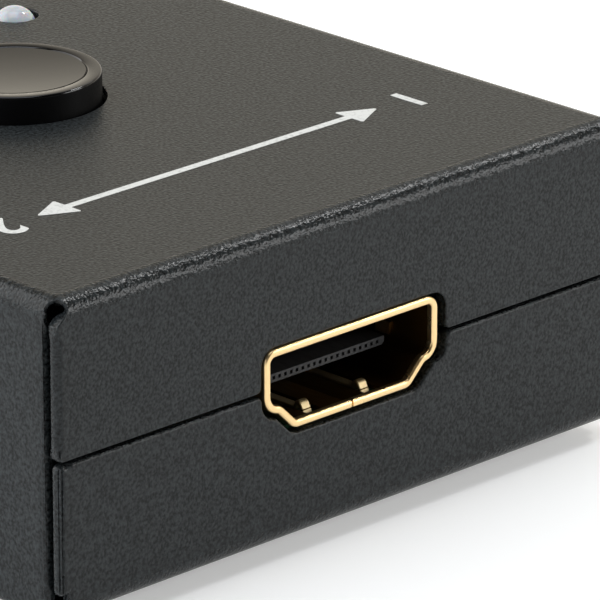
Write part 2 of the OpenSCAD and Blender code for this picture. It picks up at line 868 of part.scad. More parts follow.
module capacitors() {
    places = [for (side = [-1, 1], row = [-1:1]) [side * small_x, chip_y + row * small_pitch]];
    color("#a98d63") on_board(places) small_part(small_size);
}

module resistors() {
    places = [for (side = [-1, 1], row = [0:2]) [side * small_x, row * small_pitch]];
    color("#22252a") on_board(places) small_part(small_size);
}

module diodes() {
    places = [for (column = [-1:1]) [column * diode_pitch, diode_y]];
    color(resin_black) on_board(places) small_part(diode_size);
}

module regulator() {
    color(resin_black) on_board([[regulator_x, 0]]) {
        lead_y = regulator_lead.z - (regulator_size.y + regulator_lead.y) / 2;
        box(regulator_size);
        for (column = [-1:1])
            translate([column * regulator_pitch, lead_y, 0]) box(regulator_lead);
    }
}

top_cover();
base_tray();
rubber_feet();
case_screws();
board_standoffs();
board_screws();
circuit_board();
front_socket_shell();
front_socket_insulator();
front_socket_contacts();
left_socket_shell();
left_socket_insulator();
left_socket_contacts();
right_socket_shell();
right_socket_insulator();
right_socket_contacts();
button_cap();
return_spring();
switch_plunger();
switch_housing();
switch_base();
switch_pins();
indicator_lamps();
lamp_leads();
lamp_spacers();
switching_chip();
chip_leads();
surge_arrays();
capacitors();
resistors();
diodes();
regulator();
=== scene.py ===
"""Dresses a two-way video switch box: folded powder coated case, gold plated sockets, push button and stage."""

import json
import math
from types import SimpleNamespace

import bmesh
import bpy
import numpy as np
from bpy.props import FloatProperty, FloatVectorProperty, PointerProperty
from bpy.types import Operator, Panel, PropertyGroup
from mathutils import Matrix, Vector
from mathutils.geometry import delaunay_2d_cdt


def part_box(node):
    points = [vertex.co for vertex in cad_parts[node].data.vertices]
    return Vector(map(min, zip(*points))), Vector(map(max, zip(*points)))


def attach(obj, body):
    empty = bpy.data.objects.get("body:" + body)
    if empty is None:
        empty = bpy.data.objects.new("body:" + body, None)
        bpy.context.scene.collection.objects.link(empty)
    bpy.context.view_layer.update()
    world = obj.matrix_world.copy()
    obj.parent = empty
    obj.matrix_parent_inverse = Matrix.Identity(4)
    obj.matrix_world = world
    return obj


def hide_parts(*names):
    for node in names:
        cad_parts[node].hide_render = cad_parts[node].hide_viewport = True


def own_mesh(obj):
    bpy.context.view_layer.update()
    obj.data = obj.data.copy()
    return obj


bl_info = {
    "name": "Video Switch Box",
    "version": (1, 0, 0),
    "blender": (4, 5, 0),
    "location": "View3D > Sidebar > Switch Box",
    "description": "Builds the case, sockets, button, lamps and stage of a two-way video switch box",
    "category": "Add Mesh",
}

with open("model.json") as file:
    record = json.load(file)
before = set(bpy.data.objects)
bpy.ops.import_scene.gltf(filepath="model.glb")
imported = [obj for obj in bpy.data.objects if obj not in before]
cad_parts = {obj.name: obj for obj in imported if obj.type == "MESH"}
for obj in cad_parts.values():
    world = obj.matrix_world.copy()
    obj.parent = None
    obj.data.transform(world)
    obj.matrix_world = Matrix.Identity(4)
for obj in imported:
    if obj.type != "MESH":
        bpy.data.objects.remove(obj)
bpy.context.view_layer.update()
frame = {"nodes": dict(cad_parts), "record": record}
MM = 0.001
QUARTER = math.pi / 2
# A radius below this is none, in millimetres.
TINY = 1e-6
# Distance over which the coat of a fold fades into that of the flat sheet, in millimetres.
FOLD_FADE = 0.2
# Depth below the sheet's face at which a cut edge has the same coat as a fold, in millimetres.
EDGE_BUILD = 0.04
# Radius of a cut edge on the back of a sheet, as a share of that on its face.
BACK_SHARE = 0.3
# Where the rings of points along a cut edge lie, as shares of its radius. The last one lies on the flat.
RING_SHARES = (0, 0.076, 0.293, 0.617, 1, 1.6)
# Keeps the inset of a very sharp corner from running away.
MITRE_LIMIT = 0.4
# Angles in degrees between which a relief hole cuts into the corner of the flat sheet.
RELIEF_ARC = (-80, -180)
# Points around the button, a lamp, a small hole in the cover and a hole in the tray.
BUTTON_STEPS, LAMP_STEPS, HOLE_STEPS, POST_STEPS = 96, 48, 40, 32
# Points from the middle of the button's dish to its edge.
DISH_STEPS = 20
# Turns of the return spring, points along one turn, and points around its wire.
SPRING_TURNS, TURN_STEPS, WIRE_STEPS = 3.5, 36, 12
# Height of a numeral as a share of its type size, and growth of its strokes as a share of its height.
NUMERAL_SHARE, NUMERAL_WEIGHT = 0.7, 0.035
# Width of the picture in pixels, and of the camera's sensor in millimetres.
PICTURE, SENSOR = 600, 36
# Pixel at which the camera sees the middle of the front socket, and the depth of that point behind its mouth.
SOCKET_PIXEL, SOCKET_DEPTH = (350.6, 365.0), 0.2
# How far each opening in the walls lies off its socket, in millimetres, as assembly leaves it.
PORT_SHIFTS = {
    "front_socket": (0.4, 0, -0.17), "left_socket": (-0.12, 0, -0.06), "right_socket": (0.15, 0, -0.08),
}


def linear(hex_colour):
    """Turns an sRGB hex colour into linear red, green and blue."""
    channels = [int(hex_colour[i:i + 2], 16) / 255 for i in (1, 3, 5)]
    return tuple(c / 12.92 if c <= 0.04045 else ((c + 0.055) / 1.055) ** 2.4 for c in channels)


def node_box(node):
    """Lowest and highest corner of a CAD node, in millimetres."""
    return [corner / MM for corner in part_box(node)]


def sizes(group):
    """The lengths of one of the scene's property groups, in millimetres."""
    properties = getattr(bpy.context.scene, "switch_box_" + group)
    names = [p.identifier for p in properties.bl_rna.properties if p.type == "FLOAT"]
    return SimpleNamespace(**{name: getattr(properties, name) / MM for name in names})


def finish_colour(name):
    """One of the finishes' colours, in linear red, green and blue."""
    return getattr(bpy.context.scene.switch_box_colours, name)


def length(name, description, size_mm):
    """A length property with its default given in millimetres."""
    return FloatProperty(name=name, description=description, default=size_mm * MM, unit="LENGTH", precision=5)


def colour(name, description, hex_colour):
    """A colour property with its default given as an sRGB hex value."""
    return FloatVectorProperty(
        name=name, description=description, subtype="COLOR", min=0, max=1, default=linear(hex_colour)
    )


class CaseSizes(PropertyGroup):
    """Sizes of the folded sheet steel case."""

    sheet: length("Sheet", "Thickness of the sheet steel", 0.8)
    fold: length("Fold", "Outer radius of a fold", 1.2)
    edge: length("Cut edge", "Radius that the coat leaves on a sheared edge", 0.45)
    seam_edge: length("Seam edge", "Radius that the coat leaves on the tray's edge along the seam", 0.2)
    rim: length("Rim", "Radius that the coat leaves on a punched edge", 0.12)
    hole_rim: length("Relief rim", "Radius that the coat leaves on the edge of a relief hole", 0.06)
    thin: length("Thinned rim", "Thickness of the sheet at a relief hole", 0.25)
    flange_inset: length("Flange inset", "How far an end flange stops short of the side wall's face", 0.15)
    corner: length("Corner", "Radius of the sheet's cut corners", 0.35)
    seam: length("Seam level", "Height of the seam between cover and tray", 11.2)
    seam_gap: length("Seam gap", "Gap left open along the seam", 0.2)
    corner_gap: length("Corner gap", "Gap between a side wall and the end flange", 0.25)
    proud: length("Proud", "How far the tray's end walls stand out past the cover's flanges", 0.08)
    slip: length("Slip", "Clearance between the tray and the cover's side walls", 0.15)
    relief: length("Relief hole", "Radius of the relief hole at a corner of the top", 1.2)
    relief_start: length("Relief start", "Place past the side's face where a relief hole starts", 0.4)
    nip_drop: length("Clipped depth", "Depth below the top to which the flange is clipped", 1.55)
    kink: length("Kink", "Radius of the bend in the clipped edge of a flange", 0.2)
    tab: length("Tab length", "Length of the tray's side tabs", 44.0)
    tab_rise: length("Tab height", "Height of the tray's side tabs", 8.0)
    tab_corner: length("Tab corner", "Radius of the side tabs' corners", 1.0)
    tab_relief: length("Tab relief", "Width of the cut beside a tab and under a wing", 0.5)
    port_gap: length("Port gap", "Gap above and below a socket in the end walls", 0.2)
    port_side_gap: length("Port side gap", "Gap at either side of a socket in the end walls", 0.5)
    port_ease: length("Port easing", "Radius of the wall's corners where a port meets the seam", 0.4)
    port_corner: length("Port corner", "Largest radius of a port's other corners", 1.2)
    button_gap: length("Button gap", "Gap around the button in the top", 0.3)
    lamp_gap: length("Lamp gap", "Gap around a lamp in the top", 0.1)
    screw_gap: length("Screw gap", "Gap around a screw head in a side wall", 0.05)
    board_screw: length("Board screw", "Radius of a board screw's head", 2.2)
    post_hole: length("Post hole", "Radius of the hole in the floor that holds a standoff", 1.92)


class SocketSizes(PropertyGroup):
    """Sizes of a video socket's shell."""

    width: length("Opening width", "Width of the socket's opening", 14.0)
    height: length("Opening height", "Height of the socket's opening", 4.55)
    wall: length("Wall", "Thickness of the shell", 0.5)
    depth: length("Depth", "Length of the shell behind its mouth", 11.6)
    step: length("Step", "Width of the step at either side of the opening", 0.9)
    sheet: length("Sheet", "Thickness of the shell behind its lip", 0.3)
    lip_depth: length("Lip depth", "Depth of the thick lip behind the mouth", 0.45)
    lip_edge: length("Lip edge", "Radius of the lip's two edges", 0.16)
    floor: length("Floor", "Half the width of the narrow floor", 4.8)
    side_end: length("Side end", "Depth of the shoulder's outer end below the middle", 0.8)
    shoulder_drop: length("Shoulder drop", "Depth of the shoulder's inner end below the middle", 1.0)
    floor_corner: length("Floor corner", "Radius of the opening's corners at its floor", 0.45)
    shoulder_corner: length("Shoulder corner", "Radius of the hollow corners inside the shoulders", 0.9)
    side_corner: length("Side corner", "Radius of the opening's corners under its sides", 0.75)
    roof_corner: length("Roof corner", "Radius of the opening's corners at its roof", 0.4)
    least_corner: length("Least corner", "Smallest radius of a corner at any distance from the opening", 0.15)
    finger_x: length("Finger place", "Distance of a spring finger from the middle", 2.5)
    finger_width: length("Finger width", "Width of a spring finger", 0.75)
    finger_thickness: length("Finger thickness", "Thickness of a spring finger", 0.25)
    finger_bevel: length("Finger bevel", "Bevel of a spring finger's edges", 0.06)
    finger_rise: length("Finger rise", "Height of a spring finger's crest above its wall", 0.22)
    finger_tip: length("Finger tip", "Depth of a finger's tip behind the mouth", 1.5)
    finger_crest: length("Finger crest", "Depth of a finger's crest behind the mouth", 1.96)
    finger_root: length("Finger root", "Depth of a finger's root behind the mouth", 6.0)
    finger_gap: length("Finger gap", "Gap punched at either side of a finger", 0.3)
    window_gap: length("Window gap", "Gap punched in front of a finger's tip", 0.7)
    crest_radius: length("Crest radius", "Radius of a finger's crest", 0.2)
    knee: length("Knee", "Height of a finger's knee above the middle of its wall", 0.05)
    dip: length("Dip", "Depth of a finger's tip below the middle of its wall", 0.23)
    foot: length("Foot", "How far the end of a finger's slope lies behind its tip", 0.12)
    score: length("Score", "Height of the scored line at a finger's knee", 0.07)
    slit: length("Slit", "Width of the joint in the floor of the folded shell", 0.08)
    leg_front: length("Front leg", "Depth of the front legs' middle behind the mouth", 4.4)
    leg_back: length("Back leg", "Depth of the back legs' middle behind the mouth", 8.8)
    leg_width: length("Leg width", "Width of a leg", 1.2)


class ButtonSizes(PropertyGroup):
    """Sizes of the push button, its spring and the lamps."""

    lip: length("Lip", "Width of the lip that holds the button under the top", 1.1)
    lip_thickness: length("Lip thickness", "Thickness of that lip", 0.8)
    lip_gap: length("Lip gap", "Gap between that lip and the underside of the top", 0.15)
    bevel: length("Bevel", "Bevel of the lower edges of the button and the lamps", 0.1)
    edge: length("Edge", "Radius of the button's upper edge", 0.15)
    dish: length("Dish", "Depth of the shallow dish in the button's top", 0.16)
    rim: length("Rim", "Width of the flat rim around the dish", 0.9)
    groove: length("Groove", "Width and depth of the groove between rim and dish", 0.14)
    wall: length("Wall", "Thickness of the button's side", 1.0)
    roof: length("Roof", "Thickness of the button's top", 1.3)
    boss: length("Boss", "Radius of the boss that takes the plunger", 3.4)
    wire: length("Wire", "Thickness of the return spring's wire", 0.4)
    travel: length("Travel", "Travel of the button", 1.5)
    lamp_flange: length("Lamp flange", "Width of the flange around a lamp's foot", 0.4)
    lamp_flange_rise: length("Lamp flange height", "Height of that flange", 1.0)


class MarkSizes(PropertyGroup):
    """Sizes of the marks printed on the top."""

    row: length("Row", "Distance of the row of marks in front of the button's middle", 18.2)
    half: length("Half length", "Distance of the numerals from the middle of the row", 17.4)
    numeral: length("Numeral", "Height of a numeral", 2.7)
    lamp_numeral: length("Lamp numeral", "Height of a numeral beside a lamp", 2.0)
    lamp_row: length("Lamp row", "Distance of that numeral's middle behind the lamp's foot", 1.9)
    shaft: length("Shaft", "Thickness of the arrow's shaft", 0.6)
    head: length("Head", "Length and width of an arrow head", 2.6)
    head_corner: length("Head corner", "Radius of an arrow head's corners", 0.12)
    shaft_corner: length("Shaft corner", "Radius of the corner between an arrow head and the shaft", 0.05)
    ink: length("Ink", "Height of the ink above the coat", 0.02)


class FinishColours(PropertyGroup):
    """Colours of the finishes."""

    coat: colour("Powder coat", "Textured black powder coat", "#202324")
    gold: colour("Gold plate", "Satin gold plate of the sockets", "#f0d09a")
    # Dark brown gold, painted shade inside the shells, on the contacts and on the fingers' scored bends.
    flash: colour("Gold flash", "Thin gold on the inside of the shells", "#47310f")
    finger: colour("Finger gold", "Wiped gold plate of the spring fingers", "#c6b48c")
    button: colour("Button", "Polished black plastic of the button", "#070708")
    ink: colour("Ink", "White ink of the printed marks", "#d9dad6")
    resin: colour("Socket resin", "Black glass filled resin in the sockets", "#242426")
    rubber: colour("Rubber", "Rubber of the feet", "#1a1a1a")
    lamp: colour("Lamp", "Milky epoxy of the lamps", "#dfe6ea")
    zinc: colour("Black zinc", "Black zinc plate of the case screws", "#242426")
    brass: colour("Brass", "Turned brass of the standoffs", "#c9a45c")
    steel: colour("Steel", "Bright zinc plate and spring wire", "#b4b6b8")
    board: colour("Board", "Green solder mask of the circuit board", "#1f4a33")
    switch: colour("Switch resin", "Black resin of the push switch", "#191919")
    nylon: colour("Nylon", "White nylon of the spacers and the switch base", "#e4e2da")
    tin: colour("Tin", "Tinned leads and pins", "#bdbfc0")
    chip: colour("Chip resin", "Epoxy moulding of the chips", "#181819")
    capacitor: colour("Capacitor", "Fired ceramic of the capacitors", "#a98d63")
    resistor: colour("Resistor", "Glazed ceramic of the resistors", "#22252a")


class StageSettings(PropertyGroup):
    """Camera and studio."""

    turn: FloatProperty(
        name="Turn", description="Camera's turn around the part from the front",
        default=math.radians(-44.65), subtype="ANGLE",
    )
    rise: FloatProperty(
        name="Rise", description="Camera's angle above the table", default=math.radians(20.08), subtype="ANGLE"
    )
    distance: length("Distance", "Distance from the camera to the front socket along its axis", 417.5)
    lens: FloatProperty(name="Lens", description="Focal length of the camera", default=407.76, unit="CAMERA")
    floor: colour("Floor", "Pale table top", "#ededeb")


def case_sizes():
    """Sizes of the case, with the levels and limits that come from the CAD boxes."""
    s = sizes("case")
    low, high = node_box("top_cover")
    s.half_w, s.half_d = high.x, high.y
    s.under, s.top = low.z, high.z
    s.bend = s.fold * QUARTER
    return s


def socket_places():
    """Name of each socket, the middle of its mouth and its turn about z. The front one comes first."""
    s = sizes("socket")
    places = []
    for name, end in (("front_socket", -1), ("left_socket", 1), ("right_socket", 1)):
        low, high = node_box(name + "_shell")
        mouth = low.y if end < 0 else high.y
        middle = Vector(((low.x + high.x) / 2, mouth, high.z - s.wall - s.height / 2))
        places.append((name, middle, 0 if end < 0 else math.pi))
    return places


def lamp_place():
    """Distance of the lamps from the middle, their place along y and the radius of their flanges."""
    low, high = node_box("indicator_lamps")
    flange = (high.y - low.y) / 2
    return high.x - flange, (low.y + high.y) / 2, flange


def turned(points, place, turn):
    """Points of a socket, given from the middle of its mouth, in the part's frame."""
    matrix = Matrix.Translation(place) @ Matrix.Rotation(turn, 4, "Z")
    return [matrix @ Vector(p) for p in points]


def add_piece(name, points, faces, material, body, slot, nodes=(), crease=40, linings=()):
    """Makes a smooth mesh from points in millimetres, which rides on a body and replaces CAD nodes.

    A fourth number in a point says how far it lies in a fold. linings are further materials, each with its
    faces.
    """
    mesh = bpy.data.meshes.new(name)
    mesh.from_pydata([Vector(p[:3]) * MM for p in points], [], faces)
    shape = bmesh.new()
    shape.from_mesh(mesh)
    bmesh.ops.recalc_face_normals(shape, faces=shape.faces)
    shape.to_mesh(mesh)
    shape.free()
    mesh.shade_smooth()
    mesh.set_sharp_from_angle(angle=math.radians(crease))
    mesh.materials.append(material)
    if len(points[0]) > 3:
        folded = mesh.attributes.new("fold_share", "FLOAT", "POINT")
        folded.data.foreach_set("value", [p[3] for p in points])
    for index, (coat, coated) in enumerate(linings, 1):
        mesh.materials.append(coat)
        for i in coated:
            mesh.polygons[i].material_index = index
    piece = bpy.data.objects.new(name, mesh)
    bpy.context.scene.collection.objects.link(piece)
    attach(piece, body)
    if nodes:
        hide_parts(*nodes)
    return piece


def join(*shapes):
    """Joins several (points, faces) pairs into one."""
    points, faces = [], []
    for more_points, more_faces in shapes:
        start = len(points)
        points.extend(more_points)
        faces.extend([tuple(i + start for i in face) for face in more_faces])
    return points, faces


def arc(middle, radius, start, end, steps):
    """Points on an arc between two angles in degrees."""
    angles = [math.radians(start + (end - start) * i / steps) for i in range(steps + 1)]
    return [Vector((middle[0] + radius * math.cos(a), middle[1] + radius * math.sin(a))) for a in angles]


def circle(middle, radius, steps):
    """Outline of a round hole."""
    return arc(middle, radius, 0, -360, steps)[:-1]


def rounded(corners, radii, steps=6):
    """Replaces each corner of a closed outline by an arc of its radius."""
    points = []
    for i, (corner, radius) in enumerate(zip(corners, radii)):
        if radius <= 0:
            points.append(Vector(corner))
            continue
        corner = Vector(corner)
        back = (Vector(corners[i - 1]) - corner).normalized()
        on = (Vector(corners[(i + 1) % len(corners)]) - corner).normalized()
        half = math.acos(max(-1, min(1, back.dot(on)))) / 2
        middle = corner + (back + on).normalized() * radius / math.sin(half)
        first = corner + back * radius / math.tan(half) - middle
        last = corner + on * radius / math.tan(half) - middle
        start, end = math.atan2(first.y, first.x), math.atan2(last.y, last.x)
        sweep = (end - start + math.pi) % (2 * math.pi) - math.pi
        points += arc(middle, radius, math.degrees(start), math.degrees(start + sweep), steps)
    return points


def inset(loop, distances):
    """Moves every point of a loop to its left, which is into the sheet for outlines and holes alike."""
    moved = []
    for i, (point, distance) in enumerate(zip(loop, distances)):
        into = (point - loop[i - 1]).normalized()
        out = (loop[(i + 1) % len(loop)] - point).normalized()
        a, b = Vector((-into.y, into.x)), Vector((-out.y, out.x))
        moved.append(point + (a + b) * distance / max(MITRE_LIMIT, 1 + a.dot(b)))
    return moved


def inside(places, loop):
    """Which of the places lie inside a closed loop."""
    loop = np.array([p[:] for p in loop])
    ends = np.roll(loop, -1, axis=0)
    x, y = places[:, 0:1], places[:, 1:2]
    crosses = (loop[:, 1] > y) != (ends[:, 1] > y)
    rise = np.where(ends[:, 1] == loop[:, 1], 1e-12, ends[:, 1] - loop[:, 1])
    at = loop[:, 0] + (y - loop[:, 1]) / rise * (ends[:, 0] - loop[:, 0])
    return (crosses & (x < at)).sum(axis=1) % 2 == 1


def edge_distance(places, loops):
    """Distance of each place from the nearest cut edge."""
    nearest = np.full(len(places), 1e9)
    for loop in loops:
        for start, end in zip(loop, loop[1:] + loop[:1]):
            start, along = np.array(start[:]), np.array((end - start)[:])
            share = np.clip((places - start) @ along / max(along @ along, 1e-12), 0, 1)
            away = places - start - share[:, None] * along
            nearest = np.minimum(nearest, np.linalg.norm(away, axis=1))
    return nearest


def finely(loop, step=1.0):
    """A loop with points added along its long straight edges."""
    points = []
    for start, end in zip(loop, loop[1:] + loop[:1]):
        count = max(1, math.ceil((end - start).length / step))
        points += [start.lerp(end, i / count) for i in range(count)]
    return points


def rounding(radius, distance):
    """How far a rounded edge drops at a distance from the cut."""
    near = np.clip(radius - distance, 0, radius)
    return radius - np.sqrt(radius ** 2 - near ** 2)


def cut_sheet(outline, holes, lines, thickness, edge, rim, fold):
    """A sheet cut to an outline with holes, as points and faces.

    edge gives the radius of the outline's cut edge at a flat point, and rim is that of the holes. fold gives
    the place of a flat point at a depth. lines are kept as edges of the faces.
    """
    outline = finely(outline)
    points, edges = [], []
    loops = [(outline, [edge(*p) for p in outline])] + [(hole, [rim] * len(hole)) for hole in holes]
    for loop, radii in loops:
        for share in RING_SHARES:
            start, ring = len(points), inset(loop, [radius * share for radius in radii])
            points += ring
            edges += [(start + i, start + (i + 1) % len(ring)) for i in range(len(ring))]
    for line in lines:
        edges.append((len(points), len(points) + 1))
        points += [Vector(p) for p in line]
    flat, _, triangles, *_ = delaunay_2d_cdt(points, edges, [], 0, 1e-6, False)
    flat, triangles = np.array([p[:] for p in flat]), np.array([t[:] for t in triangles])
    middles = flat[triangles].mean(axis=1)
    kept = inside(middles, outline)
    for hole in holes:
        kept &= ~inside(middles, hole)
    used, triangles = np.unique(triangles[kept], return_inverse=True)
    flat, triangles = flat[used], triangles.reshape(-1, 3).tolist()
    drops = rounding(np.array([edge(*p) for p in flat]), edge_distance(flat, [outline]))
    drops = np.maximum(drops, rounding(rim, edge_distance(flat, holes)))
    count = len(flat)
    corners = [fold(*p, drop) for p, drop in zip(flat, drops)]
    corners += [fold(*p, thickness - drop * BACK_SHARE) for p, drop in zip(flat, drops)]
    sides = {(t[i], t[i - 2]) for t in triangles for i in range(3)}
    faces = [tuple(t) for t in triangles]
    faces += [(t[2] + count, t[1] + count, t[0] + count) for t in triangles]
    faces += [(b, a, a + count, b + count) for a, b in sides if (b, a) not in sides]
    return corners, faces


def bent(place, start, radius, depth):
    """Where a sheet that folds down past start has a point: across, in drop, and in length down the wall."""
    over = max(0.0, abs(place) - start)
    turn = min(over / radius, QUARTER)
    across = start + (radius - depth) * math.sin(turn) if over else abs(place)
    drop = radius - (radius - depth) * math.cos(turn)
    return math.copysign(across, place), drop, max(0, over - radius * QUARTER)


def fold_share(place, start, radius):
    """1 where a sheet that folds past start is bent, and 0 a little way from there."""
    over = abs(place) - start
    beyond = max(-over, over - radius * QUARTER, 0)
    return max(0, 1 - beyond / FOLD_FADE)


def fold_lines(across, along, radius, reach=60, steps=12):
    """Lines of the flat sheet that run along its folds."""
    bend = radius * QUARTER
    offsets = [-FOLD_FADE] + [bend * i / steps for i in range(steps + 1)] + [bend + FOLD_FADE]
    lines = []
    for place in [side * (across + o) for side in (-1, 1) for o in offsets]:
        lines.append(((place, -reach), (place, reach)))
    for place in [side * (along + o) for side in (-1, 1) for o in offsets]:
        lines.append(((-reach, place), (reach, place)))
    return lines


def folded_walls(across, along, radius, level, up, ends):
    """Gives a function that folds all four walls of a sheet.

    across and along are where the folds start, and level is the height of the sheet's face. up is 1 where
    that face looks up and the walls go down, and -1 the other way round. ends are the two places along y
    between which a side wall's fold runs out.
    """
    def fold(u, v, depth):
        """Place of a flat point at a depth in the sheet, and its share of a fold's coat."""
        x, drop_x, rest_x = bent(u, across, radius, depth)
        y, drop_y, rest_y = bent(v, along, radius, depth)
        # Past the ends of a side wall's fold the sheet is straight across.
        flat = min(max((abs(v) - ends[0]) / (ends[1] - ends[0]), 0), 1)
        x += (u - x) * flat
        fall = (drop_x + rest_x - depth) * (1 - flat)
        share = max(fold_share(u, across, radius) * (1 - flat), fold_share(v, along, radius))
        return x, y, level - up * (fall + drop_y + rest_y), max(share, min(1, depth / EDGE_BUILD))
    return fold


def four_corners(quarter, back_notches, front_notches):
    """Outline of a flat sheet from its right back quarter and the notches in its two end edges."""
    path = quarter + back_notches
    path += [((-x, y), r) for (x, y), r in reversed(quarter)]
    path += [((-x, -y), r) for (x, y), r in quarter]
    path += front_notches
    path += [((x, -y), r) for (x, y), r in reversed(quarter)]
    return rounded([p for p, _ in path], [r for _, r in path])


def opening_corners(by):
    """Corners of the socket's opening, grown by a distance, and their radii.

    They run anticlockwise from the right end of its floor.
    """
    s = sizes("socket")
    right = [
        (s.floor, -s.height / 2, s.floor_corner), (s.width / 2 - s.step, -s.shoulder_drop, -s.shoulder_corner),
        (s.width / 2, -s.side_end, s.side_corner), (s.width / 2, s.height / 2, s.roof_corner),
    ]
    corners = right + [(-x, z, r) for x, z, r in reversed(right)]
    moved = inset([Vector((x, z)) for x, z, _ in corners], [-by] * len(corners))
    return moved, [max(s.least_corner, abs(r + by)) for _, _, r in corners]


def port_notches(level, upper, end):
    """The ports' notches in an end wall, on the flat sheet. level turns a height into a flat distance."""
    case = case_sizes()
    corners, radii = opening_corners(sizes("socket").wall + case.port_gap)
    spread = case.port_side_gap - case.port_gap
    corners = [Vector((p.x + math.copysign(spread, p.x), p.y)) for p in corners]
    order = (3, 4) if upper else (2, 1, 0, 7, 6, 5)
    radii = [min(r, case.port_corner) for r in radii]
    edge = case.seam + (case.seam_gap / 2 if upper else -case.seam_gap / 2)
    notches = []
    for name, middle, turn in sorted(socket_places(), key=lambda p: -p[1].x):
        if (turn > 0) != (end > 0):
            continue
        middle = middle + Vector(PORT_SHIFTS[name])
        path = [(Vector((corners[order[0]].x, edge - middle.z)), case.port_ease)]
        path += [(corners[i], radii[i]) for i in order]
        path += [(Vector((corners[order[-1]].x, edge - middle.z)), case.port_ease)]
        notches += [((middle.x + p.x, end * level(p.y + middle.z)), r) for p, r in path]
    return notches if end > 0 else notches[::-1]


def tube_faces(rings, around):
    """Faces of a tube with closed ends, from its number of rings and the points around each."""
    faces = []
    for i in range(rings - 1):
        low, high = i * around, (i + 1) * around
        faces += [(low + k, low + (k + 1) % around, high + (k + 1) % around, high + k) for k in range(around)]
    return faces + [tuple(range(start, start + around)) for start in (0, (rings - 1) * around)]


def lathe(profile, middle, steps):
    """Turns a profile of radius and height around a vertical axis. Its ends on the axis close it."""
    points, faces, rows = [], [], []
    for r, z in profile:
        if r < TINY:
            rows.append([len(points)] * steps)
            points.append((middle[0], middle[1], z))
        else:
            rows.append(list(range(len(points), len(points) + steps)))
            angles = [2 * math.pi * i / steps for i in range(steps)]
            points += [(middle[0] + r * math.cos(a), middle[1] + r * math.sin(a), z) for a in angles]
    for low, high in zip(rows, rows[1:]):
        for i in range(steps):
            j = (i + 1) % steps
            face = (low[i], low[j], high[j], high[i])
            faces.append(tuple(dict.fromkeys(face)))
    return points, faces


def set_inputs(tree, node, inputs):
    """Sets each input of a node, or links it where the value is another node's output."""
    for key, value in inputs.items():
        if isinstance(value, bpy.types.NodeSocket):
            tree.links.new(value, node.inputs[key])
        else:
            node.inputs[key].default_value = value


def add_node(tree, kind, inputs=None, **settings):
    """Adds a shader node with its settings and inputs."""
    node = tree.nodes.new("ShaderNode" + kind)
    for name, value in settings.items():
        setattr(node, name, value)
    set_inputs(tree, node, inputs or {})
    return node


def start_material(name, base, **sockets):
    """A material with its base colour and its shader's even values set, and object coordinates to draw on."""
    material = bpy.data.materials.new(name)
    material.use_nodes = True
    tree = material.node_tree
    shader = tree.nodes["Principled BSDF"]
    even = {key.replace("_", " "): value for key, value in sockets.items()}
    set_inputs(tree, shader, {"Base Color": (*base, 1), **even})
    return material, tree, shader, add_node(tree, "TexCoord").outputs["Object"]


def grained(name, colour_name, grain_mm, rough, depth_mm=0.01, stretch=(1, 1, 1), tint=0.8, **sockets):
    """A material whose tone, gloss and relief follow one grain of a stated size."""
    base = finish_colour(colour_name)
    material, tree, shader, place = start_material(name, base, **sockets)
    drawn = add_node(tree, "Mapping", {"Vector": place, "Scale": stretch}).outputs["Vector"]
    grain = add_node(tree, "TexNoise", {
        "Vector": drawn, "Scale": 1 / (grain_mm * MM), "Detail": 3}).outputs["Fac"]
    low = [c * tint for c in base]
    tone = add_node(tree, "Mix", {0: grain, 6: (*low, 1), 7: (*base, 1)}, data_type="RGBA").outputs[2]
    gloss = add_node(tree, "MapRange", {
        "Value": grain, "From Min": 0.3, "From Max": 0.7, "To Min": rough[0], "To Max": rough[1]})
    bump = add_node(tree, "Bump", {"Height": grain, "Strength": 0.5, "Distance": depth_mm * MM})
    set_inputs(tree, shader, {
        "Base Color": tone, "Roughness": gloss.outputs["Result"], "Normal": bump.outputs["Normal"]})
    return material


def shared(maker):
    """The material that a function makes. The scene keeps it, so that pieces share it."""
    scene = bpy.context.scene
    if maker.__name__ not in scene:
        scene[maker.__name__] = maker()
    return scene[maker.__name__]


def powder_coat():
    """Black powder coat, cured with a fine sand texture on sheet steel."""
    # Melted grains a fifth of a millimetre apart break the dull sheen into light and dark specks. On folds and
    # cut edges the coat is lumpier and a little glossier, so it sparkles there.
    coat = finish_colour("coat")
    material, tree, shader, place = start_material("black_textured_powder_coat", coat, Specular_IOR_Level=0.2)
    folded = add_node(tree, "Attribute", attribute_name="fold_share").outputs["Fac"]
    grain = add_node(tree, "TexNoise", {
        "Vector": place, "Scale": 1 / (0.21 * MM), "Detail": 1, "Roughness": 0.5}).outputs["Fac"]
    relief = add_node(tree, "MapRange", {"Value": folded, "To Min": 0.03 * MM, "To Max": 0.05 * MM})
    bump = add_node(tree, "Bump", {"Height": grain, "Strength": 1, "Distance": relief.outputs["Result"]})
    speck = add_node(tree, "MapRange", {"Value": grain, "From Min": 0.32, "From Max": 0.7}).outputs["Result"]
    dark, pale = [c * 0.35 for c in coat], [c * 2.2 for c in coat]
    tone = add_node(tree, "Mix", {0: speck, 6: (*dark, 1), 7: (*pale, 1)}, data_type="RGBA").outputs[2]
    dull = add_node(tree, "MapRange", {
        "Value": grain, "From Min": 0.3, "From Max": 0.7, "To Min": 0.42, "To Max": 0.32}).outputs["Result"]
    gloss = add_node(tree, "Math", {0: folded, 1: -0.15, 2: dull}, operation="MULTIPLY_ADD").outputs[0]
    set_inputs(tree, shader, {"Base Color": tone, "Roughness": gloss, "Normal": bump.outputs["Normal"]})
    return material


